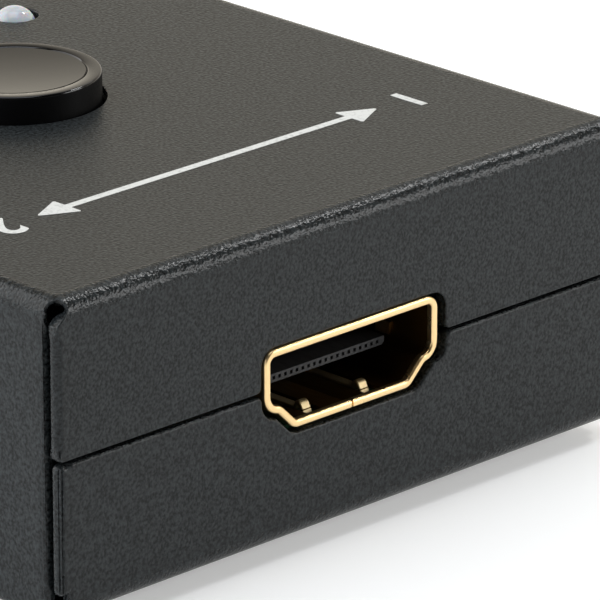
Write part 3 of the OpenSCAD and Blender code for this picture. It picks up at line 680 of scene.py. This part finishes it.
def gold_plate():
    """Gold plate over stamped brass, bright from the bath."""
    # A pale satin gold, softened by the fine lines that rolling left in the strip.
    gold = finish_colour("gold")
    material, tree, shader, place = start_material("gold_plated_brass_strip", gold, Metallic=1.0)
    lines = add_node(tree, "Mapping", {"Vector": place, "Scale": (1, 0.12, 1)}).outputs["Vector"]
    rolled = add_node(tree, "TexNoise", {"Vector": lines, "Scale": 1 / (0.12 * MM), "Detail": 2}).outputs["Fac"]
    cloud = add_node(tree, "TexNoise", {"Vector": place, "Scale": 1 / (1.5 * MM), "Detail": 2}).outputs["Fac"]
    gloss = add_node(tree, "MapRange", {"Value": cloud, "To Min": 0.22, "To Max": 0.38}).outputs["Result"]
    bump = add_node(tree, "Bump", {"Height": rolled, "Strength": 0.4, "Distance": 0.006 * MM})
    set_inputs(tree, shader, {"Roughness": gloss, "Normal": bump.outputs["Normal"]})
    return material


def thin_gold():
    """Dark brown gold on the inside of a shell, painted shade for the dark inside a socket."""
    # Brown and dull, so the inside of a socket, its contacts and the fingers' scored bends are painted into the
    # dark.
    return grained("thin_gold_flash", "flash", 0.3, (0.5, 0.65), 0.004, stretch=(1, 0.2, 1), Metallic=1.0)


def wiped_gold():
    """Gold plate on the spring fingers, wiped dull by plugs."""
    # A pale, dull gold without mirror lights.
    return grained("wiped_gold_plate", "finger", 0.3, (0.45, 0.55), 0.004, stretch=(1, 0.2, 1), Metallic=1.0)


def polished_plastic():
    """Black ABS from a polished mould."""
    # A near mirror over black, with the faint waviness of a moulded face and hairline handling marks.
    material, tree, shader, place = start_material(
        "polished_black_abs", finish_colour("button"), IOR=1.5, Specular_IOR_Level=0.36)
    wave = add_node(tree, "TexNoise", {"Vector": place, "Scale": 1 / (3 * MM), "Detail": 1}).outputs["Fac"]
    haze = add_node(tree, "TexNoise", {"Vector": place, "Scale": 1 / (0.5 * MM), "Detail": 5}).outputs["Fac"]
    gloss = add_node(tree, "MapRange", {
        "Value": haze, "From Min": 0.3, "From Max": 0.8, "To Min": 0.05, "To Max": 0.16}).outputs["Result"]
    bump = add_node(tree, "Bump", {"Height": wave, "Strength": 0.3, "Distance": 0.02 * MM})
    set_inputs(tree, shader, {"Roughness": gloss, "Normal": bump.outputs["Normal"]})
    return material


def eroded_plastic():
    """Black ABS from the side wall of the mould, which is left as eroded."""
    # A dull skin that takes no mirror image, so the side of the button stays black under its bright rim.
    return grained("eroded_black_abs", "button", 0.15, (0.42, 0.58), 0.004, IOR=1.5, Specular_IOR_Level=0.12)


def screen_ink():
    """White screen printing ink on the powder coat."""
    # Matt white that follows the grain under it and thins a little at the pits.
    ink = finish_colour("ink")
    material, tree, shader, place = start_material("white_screen_ink", ink, Roughness=0.6)
    grain = add_node(tree, "TexNoise", {
        "Vector": place, "Scale": 1 / (0.27 * MM), "Detail": 2.5}).outputs["Fac"]
    thin = add_node(tree, "MapRange", {"Value": grain, "From Min": 0.25, "From Max": 0.5}).outputs["Result"]
    pit = [c * 0.75 for c in ink]
    tone = add_node(tree, "Mix", {0: thin, 6: (*pit, 1), 7: (*ink, 1)}, data_type="RGBA").outputs[2]
    bump = add_node(tree, "Bump", {"Height": grain, "Strength": 0.6, "Distance": 0.03 * MM})
    set_inputs(tree, shader, {"Base Color": tone, "Normal": bump.outputs["Normal"]})
    return material


def socket_resin():
    """Glass filled liquid crystal polymer, moulded."""
    # Short fibres drawn into the mould leave dull grey streaks along the tongue.
    return grained("black_glass_filled_resin", "resin", 0.25, (0.5, 0.65), stretch=(1, 0.2, 1))


def moulded_rubber():
    """Nitrile rubber, compression moulded."""
    # Soft black with a dusty, almost sheenless skin.
    return grained("black_nitrile_rubber", "rubber", 0.4, (0.75, 0.9), 0.03)


def milky_epoxy():
    """Diffusing epoxy, cast around the lamp."""
    # Milky body with a clear glossy skin.
    return grained("milky_cast_epoxy", "lamp", 0.8, (0.08, 0.14), 0.002, tint=0.95,
                   Transmission_Weight=0.25, Subsurface_Weight=0.4, Subsurface_Scale=0.001)


def black_zinc():
    """Steel screw with a black zinc plate."""
    # Dark satin metal with faint passivation clouds.
    return grained("black_zinc_plate", "zinc", 0.5, (0.35, 0.5), 0.005, Metallic=0.6)


def turned_brass():
    """Brass bar, turned."""
    # Warm metal with tool rings too fine to see, so they are drawn a tenth of a millimetre apart.
    return grained("turned_brass", "brass", 0.1, (0.25, 0.35), 0.004, stretch=(0.1, 0.1, 1), Metallic=1.0)


def zinc_steel():
    """Steel with a bright zinc plate."""
    # Cool grey metal with a soft sparkle.
    return grained("bright_zinc_steel", "steel", 0.3, (0.25, 0.4), 0.004, Metallic=1.0)


def drawn_wire():
    """Music wire, drawn."""
    # Bright grey metal, with a grain as fine as its draw lines.
    return grained("drawn_spring_wire", "steel", 0.15, (0.2, 0.35), 0.003, Metallic=1.0)


def solder_mask():
    """Glass epoxy laminate under green solder mask."""
    # The weave of the glass cloth shows as a half millimetre check under the glossy film.
    board = finish_colour("board")
    material, tree, shader, place = start_material("green_solder_mask_laminate", board, Roughness=0.35)
    weave = add_node(tree, "TexChecker", {"Vector": place, "Scale": 1 / (0.5 * MM)}).outputs["Fac"]
    pale = [min(1, c * 1.25) for c in board]
    tone = add_node(tree, "Mix", {0: weave, 6: (*board, 1), 7: (*pale, 1)}, data_type="RGBA").outputs[2]
    bump = add_node(tree, "Bump", {"Height": weave, "Strength": 0.2, "Distance": 0.01 * MM})
    set_inputs(tree, shader, {"Base Color": tone, "Normal": bump.outputs["Normal"]})
    return material


def switch_resin():
    """Glass filled polyester, moulded."""
    # Black with an even satin grain from the mould.
    return grained("black_polyester_moulding", "switch", 0.2, (0.4, 0.55))


def nylon():
    """Nylon, moulded."""
    # Off-white and slightly waxy.
    return grained("natural_nylon", "nylon", 0.6, (0.4, 0.5), tint=0.94,
                   Subsurface_Weight=0.2, Subsurface_Scale=0.001)


def tinned_copper():
    """Copper lead, dipped in tin."""
    # Soft grey metal with a rippled, frosty skin.
    return grained("tinned_copper_lead", "tin", 0.2, (0.3, 0.45), 0.006, Metallic=1.0)


def chip_epoxy():
    """Filled epoxy, transfer moulded."""
    # Dark grey with a fine spark-eroded grain.
    return grained("black_chip_epoxy", "chip", 0.12, (0.55, 0.7))


def capacitor_ceramic():
    """Fired ceramic."""
    # Tan and dull, with slight kiln clouds.
    return grained("tan_fired_ceramic", "capacitor", 0.4, (0.5, 0.6))


def resistor_glaze():
    """Glazed thick film on ceramic."""
    # Blue-black glass over a thick film.
    return grained("black_glazed_film", "resistor", 0.4, (0.15, 0.25), 0.003)


class SWITCHBOX_OT_stage(Operator):
    """Sets up the camera, the pale table and the studio light"""

    bl_idname = "switchbox.stage"
    bl_label = "Stage"

    def execute(self, context):
        scene = context.scene
        scene.view_settings.view_transform = "Standard"
        self.camera(scene)
        self.table(scene)
        self.world(scene)
        # Each lamp: name, where it stands, width and height in metres, power in watts, and colour.
        white, cool, pale_blue = "#ffffff", "#f2f7ff", "#eef4ff"
        self.lamp("right_spot", (0.363, -0.035, 0.41), (0.07, 0.09), 0.55, white)
        self.lamp("right_high_softbox", (0.38, 0.12, 0.42), (0.30, 0.30), 0.2, white)
        self.lamp("front_right_softbox", (0.40, -0.44, 0.21), (0.30, 0.24), 1.5, white)
        self.lamp("back_left_softbox", (-0.27, 0.43, 0.31), (0.65, 0.58), 2.9, white)
        self.lamp("left_softbox", (-0.58, 0.05, 0.20), (0.40, 0.30), 1.3, pale_blue)
        self.lamp("overhead_softbox", (-0.02, 0.02, 0.75), (0.50, 0.50), 2.3, cool)
        return {"FINISHED"}

    @staticmethod
    def camera(scene):
        """Stands the camera so that it sees the front socket's middle at its pixel."""
        stage = scene.switch_box_stage
        turn, rise = stage.turn, stage.rise
        back = Vector((math.sin(turn) * math.cos(rise), -math.cos(turn) * math.cos(rise), math.sin(rise)))
        right = Vector((math.cos(turn), math.sin(turn), 0))
        up = back.cross(right)
        wide, tall = [pixel - PICTURE / 2 for pixel in SOCKET_PIXEL]
        focus = stage.lens / SENSOR * PICTURE
        place = socket_places()[0][1] * MM + Vector((0, SOCKET_DEPTH * MM, 0))
        camera = bpy.data.objects.new("camera", bpy.data.cameras.new("camera"))
        camera.data.lens = stage.lens
        camera.data.sensor_width = SENSOR
        camera.data.clip_start = 0.01
        camera.location = place + back * stage.distance + (up * tall - right * wide) * (stage.distance / focus)
        camera.rotation_euler = (QUARTER - rise, 0, turn)
        scene.collection.objects.link(camera)
        scene.camera = camera

    @staticmethod
    def table(scene):
        """Lays a wide pale table, a little lighter to the camera and in mirrors than the lamps make it."""
        reach, lift = 3, 0.35
        corners = [(-reach, -reach, 0), (reach, -reach, 0), (reach, reach, 0), (-reach, reach, 0)]
        mesh = bpy.data.meshes.new("table")
        mesh.from_pydata(corners, [], [(0, 1, 2, 3)])
        table = bpy.data.objects.new("table", mesh)
        scene.collection.objects.link(table)
        material, tree, shader, _ = start_material(
            "pale_table_laminate", scene.switch_box_stage.floor, Roughness=0.7)
        path = add_node(tree, "LightPath").outputs
        seen = path["Is Camera Ray"]
        for ray in ("Is Glossy Ray", "Is Transmission Ray"):
            seen = add_node(tree, "Math", {0: seen, 1: path[ray]}, operation="MAXIMUM").outputs[0]
        glow = add_node(tree, "Math", {0: seen, 1: lift}, operation="MULTIPLY").outputs[0]
        set_inputs(tree, shader, {"Emission Color": (1, 1, 1, 1), "Emission Strength": glow})
        mesh.materials.append(material)

    @staticmethod
    def world(scene):
        """Lights the room from low on its far side, and leaves it dim overhead and behind the camera."""
        world = bpy.data.worlds.new("studio")
        scene.world = world
        world.use_nodes = True
        tree = world.node_tree
        far_side, tint = (0.7, 0.71, 0), "#fff6e4"
        way = add_node(tree, "TexCoord").outputs["Generated"]
        height = add_node(tree, "SeparateXYZ", {0: way}).outputs["Z"]
        low = add_node(tree, "MapRange", {
            "Value": height, "From Min": 0.1, "From Max": 0.8, "To Min": 1.14, "To Max": 0.1}).outputs["Result"]
        far = add_node(tree, "VectorMath", {0: way, 1: far_side}, operation="DOT_PRODUCT").outputs["Value"]
        side = add_node(tree, "MapRange", {
            "Value": far, "From Min": -0.2, "From Max": 0.75, "To Min": 0.08, "To Max": 1.0,
        }, interpolation_type="SMOOTHSTEP").outputs["Result"]
        level = add_node(tree, "Math", {0: low, 1: side}, operation="MULTIPLY").outputs[0]
        set_inputs(tree, tree.nodes["Background"], {"Color": (*linear(tint), 1), "Strength": level})

    @staticmethod
    def lamp(name, place, size, power, tint):
        """Hangs a rectangular lamp that faces the middle of the part."""
        middle = Vector((0, 0, 0.015))
        light = bpy.data.lights.new(name, "AREA")
        light.shape = "RECTANGLE"
        light.size, light.size_y = size
        light.energy = power
        light.color = linear(tint)
        lamp = bpy.data.objects.new(name, light)
        lamp.location = place
        lamp.rotation_euler = (Vector(place) - middle).to_track_quat("Z", "Y").to_euler()
        bpy.context.scene.collection.objects.link(lamp)


class SWITCHBOX_OT_cover(Operator):
    """Cuts and folds the cover: the top, two side walls and two end flanges"""

    bl_idname = "switchbox.cover"
    bl_label = "Top cover"

    def execute(self, context):
        s = case_sizes()
        across, along = s.half_w - s.fold, s.half_d - s.fold

        def down(z):
            """Flat distance of a height on an end flange."""
            return along + s.bend + s.top - s.fold - z

        side_end = across + s.bend + s.top - s.fold - s.under
        side_edge = s.half_d - s.sheet - s.corner_gap
        # A relief hole lies two thirds of the way round both folds.
        hole = (across + s.bend * 2 / 3, along + s.bend * 2 / 3)
        seam_edge = down(s.seam + s.seam_gap / 2)
        quarter = [((side_end, side_edge), s.corner), ((s.half_w + s.relief_start, side_edge), 0)]
        quarter += [((p.x, p.y), 0) for p in arc(hole, s.relief, *RELIEF_ARC, 10)]
        flange = s.half_w - s.flange_inset
        quarter += [((flange, down(s.top - s.nip_drop)), s.kink), ((flange, seam_edge), s.corner)]
        outline = four_corners(quarter, port_notches(down, True, 1), port_notches(down, True, -1))
        bend = folded_walls(across, along, s.fold, s.top, 1, (side_edge, side_edge + s.bend / 2))

        def from_hole(u, v):
            """Distance of a flat point from the rim of its relief hole."""
            return math.hypot(abs(u) - hole[0], abs(v) - hole[1]) - s.relief

        def fold(u, v, depth):
            """Folds a point of the sheet, which thins towards a relief hole but not on the flange."""
            near = max(0, 1 - max(0, from_hole(u, v)) / s.sheet)
            near *= min(max((hole[1] + s.relief / 4 - abs(v)) / (s.relief / 3), 0), 1)
            return bend(u, v, depth * (1 - near * (1 - s.thin / s.sheet)))

        def edge(u, v):
            """Radius of the cut edge at a flat point."""
            at_seam = abs(v) > seam_edge - s.edge
            at_port = abs(v) > along + s.bend + s.edge and abs(u) < s.half_w - s.fold
            if from_hole(u, v) < s.edge:
                return s.hole_rim
            return s.rim if at_seam or at_port else s.edge

        lines = fold_lines(across, along, s.fold)
        shape = cut_sheet(outline, self.holes(s, across), lines, s.sheet, edge, s.rim, fold)
        add_piece("folded_cover", *shape, shared(powder_coat), "housing", "powder_coated_steel", ["top_cover"])
        return {"FINISHED"}

    @staticmethod
    def holes(s, across):
        """Holes in the flat sheet for the button, the lamps and the screws."""
        button = sizes("button")
        holes = [circle((0, 0), node_box("button_cap")[1].x - button.lip + s.button_gap, BUTTON_STEPS)]
        x, y, flange = lamp_place()
        radius = flange - button.lamp_flange + s.lamp_gap
        holes += [circle((side * x, y), radius, HOLE_STEPS) for side in (-1, 1)]
        low, high = node_box("case_screws")
        head = (high.z - low.z) / 2
        drop = across + s.bend + s.top - s.fold - (low.z + high.z) / 2
        for x in (-drop, drop):
            holes += [circle((x, y), head + s.screw_gap, HOLE_STEPS) for y in (low.y + head, high.y - head)]
        return holes


class SWITCHBOX_OT_tray(Operator):
    """Cuts and folds the tray: the floor, two end walls and two side tabs"""

    bl_idname = "switchbox.tray"
    bl_label = "Base tray"

    def execute(self, context):
        s = case_sizes()
        floor = s.half_w - s.sheet - s.slip
        across, along = floor - s.fold, s.half_d + s.proud - s.fold

        def up(z):
            """Flat distance of a height on an end wall."""
            return along + s.bend + z - s.under - s.fold

        tab, tab_end = s.tab / 2, across + s.bend + s.tab_rise - s.fold
        flange, wing = s.half_w - s.flange_inset, along + s.bend + s.tab_relief
        seam_edge = up(s.seam - s.seam_gap / 2)
        quarter = [
            ((tab_end, tab), s.tab_corner), ((across, tab), 0), ((across, tab + s.tab_relief), 0),
            ((floor, tab + s.tab_relief), s.corner), ((floor, wing), 0),
            ((flange, wing), s.corner), ((flange, seam_edge), s.corner),
        ]
        outline = four_corners(quarter, port_notches(up, False, 1), port_notches(up, False, -1))
        fold = folded_walls(across, along, s.fold, s.under, -1, (tab, tab + s.tab_relief))
        low, high = node_box("board_screws")
        x, rows = high.x - s.board_screw, (low.y + s.board_screw, high.y - s.board_screw)
        holes = [circle((side * x, y), s.post_hole, POST_STEPS) for side in (-1, 1) for y in rows]

        def edge(u, v):
            """Radius of the cut edge at a flat point."""
            return s.edge if abs(u) > floor else s.seam_edge

        lines = fold_lines(across, along, s.fold)
        shape = cut_sheet(outline, holes, lines, s.sheet, edge, s.rim, fold)
        add_piece("folded_tray", *shape, shared(powder_coat), "housing", "powder_coated_steel", ["base_tray"])
        return {"FINISHED"}


class SWITCHBOX_OT_sockets(Operator):
    """Draws the three gold plated socket shells with their rolled lips, finger windows and spring fingers"""

    bl_idname = "switchbox.sockets"
    bl_label = "Socket shells"

    def execute(self, context):
        s = sizes("socket")
        *shell, shade_painted_faces = self.shell(s)
        fingers, around = self.fingers(s)
        shape = join(shell, *fingers, *self.legs(s))
        first, each = len(shell[1]), len(fingers[0][1])
        for k in range(1, len(fingers) + 1):
            # The bend above each finger's tip is scored, and its faces take the same dark brown gold as the
            # inside of the shell: painted shade along the crease. Its faces come before those of the tip and
            # the two ends.
            tip = first + k * each - 2 - around
            shade_painted_faces += range(tip - around, tip)
        sprung = range(first, first + len(fingers) * each)
        # The faces inside the shell take the dark brown gold: painted shade.
        linings = [(wiped_gold(), sprung), (shared(thin_gold), shade_painted_faces)]
        for name, middle, turn in socket_places():
            points = turned(shape[0], middle, turn)
            add_piece(name + "_drawn_shell", points, shape[1], shared(gold_plate), "housing",
                      "gold_plated_shell", [name + "_shell"], linings=linings)
        return {"FINISHED"}

    @staticmethod
    def ring(s, by):
        """Outline of the shell grown by a distance, and where its roof's and its floor's added points start.

        Points are added at the sides of the finger windows, and at the slit in the floor.
        """
        corners, radii = opening_corners(by)
        outline = rounded(corners, radii, 7)
        half = len(outline) // 2
        right, left = outline[:half], outline[half:]
        reach = s.finger_width / 2 + s.finger_gap
        windows = [s.finger_x + reach, s.finger_x - reach, -s.finger_x + reach, -s.finger_x - reach]
        roof = [Vector((x, corners[3].y)) for x in windows]
        slit = [-s.slit, -s.slit / 2, s.slit / 2, s.slit]
        floor = [Vector((x, corners[0].y)) for x in windows[:1:-1] + slit + windows[1::-1]]
        return right + roof + left + floor, half, 2 * half + len(roof)

    def shell(self, s):
        """Points and faces of the shell, and which of its faces take the dark brown gold that paints the shade
        inside it.
        """
        # Each station along the wall, from the back outside over the lip to the back inside: growth and depth.
        front, root = s.finger_tip - s.window_gap, s.finger_root
        r, step = s.lip_edge, s.wall - s.sheet
        lip = [(p.x, -p.y) for p in arc((s.wall - r, -r), r, 0, 90, 6) + arc((r, -r), r, 90, 180, 6)]
        stations = [(s.wall, s.depth), (s.wall, root), (s.wall, front)] + lip
        stations += [(0, s.lip_depth), (step, s.lip_depth + step)]
        stations += [(step, front), (step, root), (step, s.depth - s.wall)]
        rings = [self.ring(s, by) for by, _ in stations]
        _, roof, floor = rings[0]
        count, last = len(rings[0][0]), len(stations) - 1
        points = []
        for (by, depth), (ring, _, _) in zip(stations, rings):
            row = [(p.x, depth, p.y) for p in ring]
            # The slit's two inner points lie half way into the wall.
            for i in (floor + 3, floor + 4):
                x, _, z = row[i]
                row[i] = (x, max(depth, s.slit * 1.5), z + (by - s.wall / 2) / 2)
            points += row
        # Two faces close the back, and no faces lie in the windows, whose rims join the outside to the inside.
        faces = [tuple(range(count))[::-1], tuple(last * count + i for i in range(count))]
        # The inner back face, the inside rows, the slit and the windows' rims take the dark brown gold: painted
        # shade inside the socket.
        shade_painted_faces = [1]
        windows = {roof, roof + 2, floor, floor + 6}
        rims = {1: last - 1, 2: last - 2}
        for row in range(last):
            for i in range(count):
                if row in (1, last - 2) and i in windows:
                    continue
                if row > last - 4 or (row > 2 and i == floor + 3):
                    shade_painted_faces.append(len(faces))
                a, b = row * count + i, row * count + (i + 1) % count
                faces.append((a, b, b + count, a + count))
        for a in windows:
            b = (a + 1) % count
            shade_painted_faces += range(len(faces), len(faces) + 4)
            for i in (a, b):
                faces.append((count + i, 2 * count + i, rims[2] * count + i, rims[1] * count + i))
            for row, rim in rims.items():
                faces.append((row * count + a, row * count + b, rim * count + b, rim * count + a))
        return points, faces, shade_painted_faces

    @staticmethod
    def fingers(s):
        """Spring fingers, and the number of points around one.

        They are flat strips that rise to a round crest and curl down to a tip.
        """
        # Heights are from the middle of the shell's thin wall.
        level = s.height / 2 + s.wall - s.sheet / 2
        crest = level - s.height / 2 + s.finger_rise - s.finger_thickness / 2
        hollow = s.finger_crest + 2 * s.crest_radius
        path = [Vector((s.finger_root + s.wall, 0)), Vector((s.finger_root - s.wall, 0))]
        path += arc((hollow, s.crest_radius), s.crest_radius, 270, 225, 5)
        path += arc((s.finger_crest, crest - s.crest_radius), s.crest_radius, 45, 150, 10)
        foot = s.finger_tip + s.foot
        path += [Vector((foot, s.knee)), Vector((foot - s.score / 2, s.knee - s.score))]
        path += [Vector((s.finger_tip, -s.dip))]
        w, t, cut = s.finger_width / 2, s.finger_thickness / 2, s.finger_bevel
        section = [(w - cut, t), (w, t - cut), (w, cut - t), (w - cut, -t)]
        section += [(-x, z) for x, z in reversed(section)]
        points = []
        for i, p in enumerate(path):
            along = (path[min(i + 1, len(path) - 1)] - path[max(i - 1, 0)]).normalized()
            up = Vector((along.y, -along.x))
            points += [(x, p.x + up.x * z, p.y + up.y * z) for x, z in section]
        faces = tube_faces(len(path), len(section))
        strips = []
        for x0 in (-s.finger_x, s.finger_x):
            for way in (1, -1):
                strips.append(([(x + x0, y, way * (z - level)) for x, y, z in points], faces))
        return strips, len(section)

    @staticmethod
    def legs(s):
        """Shell legs that pass through the board."""
        low = node_box("front_socket_shell")[0].z - socket_places()[0][1].z
        inner, outer, half = s.width / 2, s.width / 2 + s.wall, s.leg_width / 2
        for side in (-1, 1):
            for middle in (s.leg_front, s.leg_back):
                front, back = middle - half, middle + half
                corners = [(inner, front), (outer, front), (outer, back), (inner, back)]
                yield [(side * x, y, z) for z in (low, 0) for x, y in corners], tube_faces(2, len(corners))


class SWITCHBOX_OT_button(Operator):
    """Turns the push button: dished top, rim, side, lip and boss"""

    bl_idname = "switchbox.button"
    bl_label = "Push button"

    def execute(self, context):
        s, case = sizes("button"), case_sizes()
        low, high = node_box("button_cap")
        top, roof, cut = high.z, high.z - s.roof, s.bevel
        lip_top = case.top - case.sheet - s.lip_gap
        under = lip_top - s.lip_thickness
        r, outer = high.x - s.lip, high.x
        inner, dished = r - s.wall, r - s.rim - s.groove
        steps = [dished * k / DISH_STEPS for k in range(DISH_STEPS + 1)]
        face = [(x, top - s.dish * (1 - (x / dished) ** 2) - s.groove / 4) for x in steps]
        face += [(dished + s.groove / 2, top - s.groove), (dished + s.groove, top - s.groove / 4)]
        face += [(dished + s.groove * 1.5, top)]
        face += [(p.x, p.y) for p in arc((r - s.edge, top - s.edge), s.edge, 90, 0, 10)]
        profile = face + [
            (r, lip_top + cut), (r + cut, lip_top), (outer - cut, lip_top), (outer, lip_top - cut),
            (outer, under + cut), (outer - cut, under), (inner, under), (inner, roof),
            (s.boss, roof), (s.boss, low.z + cut), (s.boss - cut, low.z), (0, low.z),
        ]
        side = (len(face) - 1) * BUTTON_STEPS
        add_piece("polished_button", *lathe(profile, (0, 0), BUTTON_STEPS), polished_plastic(), "button",
                  "gloss_black_plastic", ["button_cap"],
                  linings=[(eroded_plastic(), range(side, side + BUTTON_STEPS))])
        return {"FINISHED"}


class SWITCHBOX_OT_lamps(Operator):
    """Turns the two indicator lamps"""

    bl_idname = "switchbox.lamps"
    bl_label = "Indicator lamps"

    def execute(self, context):
        s = sizes("button")
        low, high = node_box("indicator_lamps")
        x, y, flange = lamp_place()
        r, step = flange - s.lamp_flange, low.z + s.lamp_flange_rise
        dome = [(p.x, p.y) for p in arc((0, high.z - r), r, 90, 0, 14)]
        profile = [(0, high.z)] + dome[1:] + [
            (r, step), (flange - s.bevel, step), (flange, step - s.bevel), (flange, low.z), (0, low.z),
        ]
        shape = join(*[lathe(profile, (side * x, y), LAMP_STEPS) for side in (-1, 1)])
        add_piece("cast_lamps", *shape, milky_epoxy(), "housing", "lamp_epoxy", ["indicator_lamps"])
        return {"FINISHED"}


class SWITCHBOX_OT_spring(Operator):
    """Winds the return spring between the switch and the button's boss"""

    bl_idname = "switchbox.spring"
    bl_label = "Return spring"

    def execute(self, context):
        s = sizes("button")
        low, high = node_box("return_spring")
        span, wire = high.z - low.z, s.wire / 2
        radius, rise = high.x - wire, span - s.wire
        count, climb = int(SPRING_TURNS * TURN_STEPS), rise / (2 * math.pi * SPRING_TURNS)
        around = [2 * math.pi * k / WIRE_STEPS for k in range(WIRE_STEPS)]
        points = []
        for i in range(count + 1):
            angle = 2 * math.pi * SPRING_TURNS * i / count
            out = Vector((math.cos(angle), math.sin(angle), 0))
            along = Vector((-radius * out.y, radius * out.x, climb)).normalized()
            middle = out * radius + Vector((0, 0, low.z + wire + rise * i / count))
            points += [middle + wire * (out * math.cos(a) + out.cross(along) * math.sin(a)) for a in around]
        spring = add_piece("wound_spring", points, tube_faces(count + 1, WIRE_STEPS), drawn_wire(), "housing",
                           "spring_steel", ["return_spring"])
        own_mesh(spring)
        return {"FINISHED"}


class SWITCHBOX_OT_marks(Operator):
    """Prints the marks on the top: a two-way arrow, and numerals for the two sockets"""

    bl_idname = "switchbox.marks"
    bl_label = "Printed marks"

    def execute(self, context):
        s, top = sizes("marks"), case_sizes().top
        lamp_x, lamp_y, flange = lamp_place()
        lamp_row = lamp_y + flange + s.lamp_row
        shapes = [self.arrow(s, top)]
        for side, numeral in ((1, "1"), (-1, "2")):
            for size, x, y in ((s.numeral, s.half, -s.row), (s.lamp_numeral, lamp_x, lamp_row)):
                shapes.append(self.numeral(s, top, numeral, size, side * x, y))
        add_piece("printed_marks", *join(*shapes), screen_ink(), "housing", "powder_coated_steel", crease=30)
        return {"FINISHED"}

    @staticmethod
    def arrow(s, top):
        """The two-way arrow, a film of ink that reaches half its height into the coat."""
        end, half, shaft = s.half - s.numeral, s.head / 2, s.shaft / 2
        neck = end - s.head
        right = [(neck, -shaft), (neck, -half), (end, 0), (neck, half), (neck, shaft)]
        corners = right + [(-x, y) for x, y in reversed(right)]
        radii = [s.shaft_corner, s.head_corner, s.head_corner, s.head_corner, s.shaft_corner]
        outline = [p - Vector((0, s.row)) for p in rounded(corners, radii * 2, 4)]
        film, edge = 1.5 * s.ink, 0.3 * s.ink

        def printed(u, v, depth):
            """Place of a point of the film."""
            return u, v, top + s.ink - depth

        return cut_sheet(outline, [], [], film, lambda u, v: edge, 0, printed)

    @staticmethod
    def numeral(s, top, text, size, x, y):
        """A numeral in plain bold type that reads from the back of the box."""
        curve = bpy.data.curves.new("numeral", "FONT")
        curve.body = text
        curve.size = size / NUMERAL_SHARE
        curve.align_x = curve.align_y = "CENTER"
        curve.offset = NUMERAL_WEIGHT * size
        curve.extrude = s.ink / 2
        drawn = bpy.data.objects.new("numeral", curve)
        mesh = bpy.data.meshes.new_from_object(drawn)
        points = [(x - v.co.x, y - v.co.y, top + s.ink / 2 + v.co.z) for v in mesh.vertices]
        faces = [tuple(p.vertices) for p in mesh.polygons]
        bpy.data.objects.remove(drawn)
        bpy.data.curves.remove(curve)
        bpy.data.meshes.remove(mesh)
        return points, faces


class SWITCHBOX_OT_finishes(Operator):
    """Gives the CAD solids that stay in view their finishes"""

    bl_idname = "switchbox.finishes"
    bl_label = "Finishes of the other parts"

    def execute(self, context):
        makers = {
            "foot_rubber": moulded_rubber, "black_zinc_screw": black_zinc, "standoff_brass": turned_brass,
            "screw_steel": zinc_steel, "board_laminate": solder_mask, "socket_resin": socket_resin,
            "switch_resin": switch_resin, "nylon": nylon, "tinned_lead": tinned_copper,
            "chip_resin": chip_epoxy, "capacitor_ceramic": capacitor_ceramic,
            # The contacts take the dark brown gold of the shells' insides: painted shade under the shell's
            # roof.
            "resistor_ceramic": resistor_glaze, "gold_contact": thin_gold,
        }
        for part in frame["record"]["subparts"]:
            slot = part["material_slot"]
            if slot in makers:
                for place in frame["nodes"][part["node"]].material_slots:
                    place.material = shared(makers[slot])
        return {"FINISHED"}


class SWITCHBOX_PT_panel(Panel):
    """Lists the steps that build the switch box"""

    bl_idname = "SWITCHBOX_PT_panel"
    bl_label = "Video Switch Box"
    bl_space_type = "VIEW_3D"
    bl_region_type = "UI"
    bl_category = "Switch Box"

    def draw(self, context):
        for step in steps:
            self.layout.operator(step.bl_idname)


groups = {
    "switch_box_case": CaseSizes, "switch_box_socket": SocketSizes, "switch_box_button": ButtonSizes,
    "switch_box_marks": MarkSizes, "switch_box_colours": FinishColours, "switch_box_stage": StageSettings,
}
steps = [
    SWITCHBOX_OT_stage, SWITCHBOX_OT_cover, SWITCHBOX_OT_tray, SWITCHBOX_OT_sockets, SWITCHBOX_OT_button,
    SWITCHBOX_OT_lamps, SWITCHBOX_OT_spring, SWITCHBOX_OT_marks, SWITCHBOX_OT_finishes,
]


def register():
    """Registers the property groups, the operators and the panel."""
    for name, group in groups.items():
        bpy.utils.register_class(group)
        setattr(bpy.types.Scene, name, PointerProperty(type=group))
    for step in steps + [SWITCHBOX_PT_panel]:
        bpy.utils.register_class(step)


def unregister():
    """Removes what register added."""
    for step in [SWITCHBOX_PT_panel] + steps:
        bpy.utils.unregister_class(step)
    for name, group in groups.items():
        delattr(bpy.types.Scene, name)
        bpy.utils.unregister_class(group)


def main():
    """Builds the whole box on its stage."""
    register()
    bpy.ops.switchbox.stage()
    bpy.ops.switchbox.cover()
    bpy.ops.switchbox.tray()
    bpy.ops.switchbox.sockets()
    bpy.ops.switchbox.button()
    bpy.ops.switchbox.lamps()
    bpy.ops.switchbox.spring()
    bpy.ops.switchbox.marks()
    bpy.ops.switchbox.finishes()


if __name__ == "__main__":
    main()
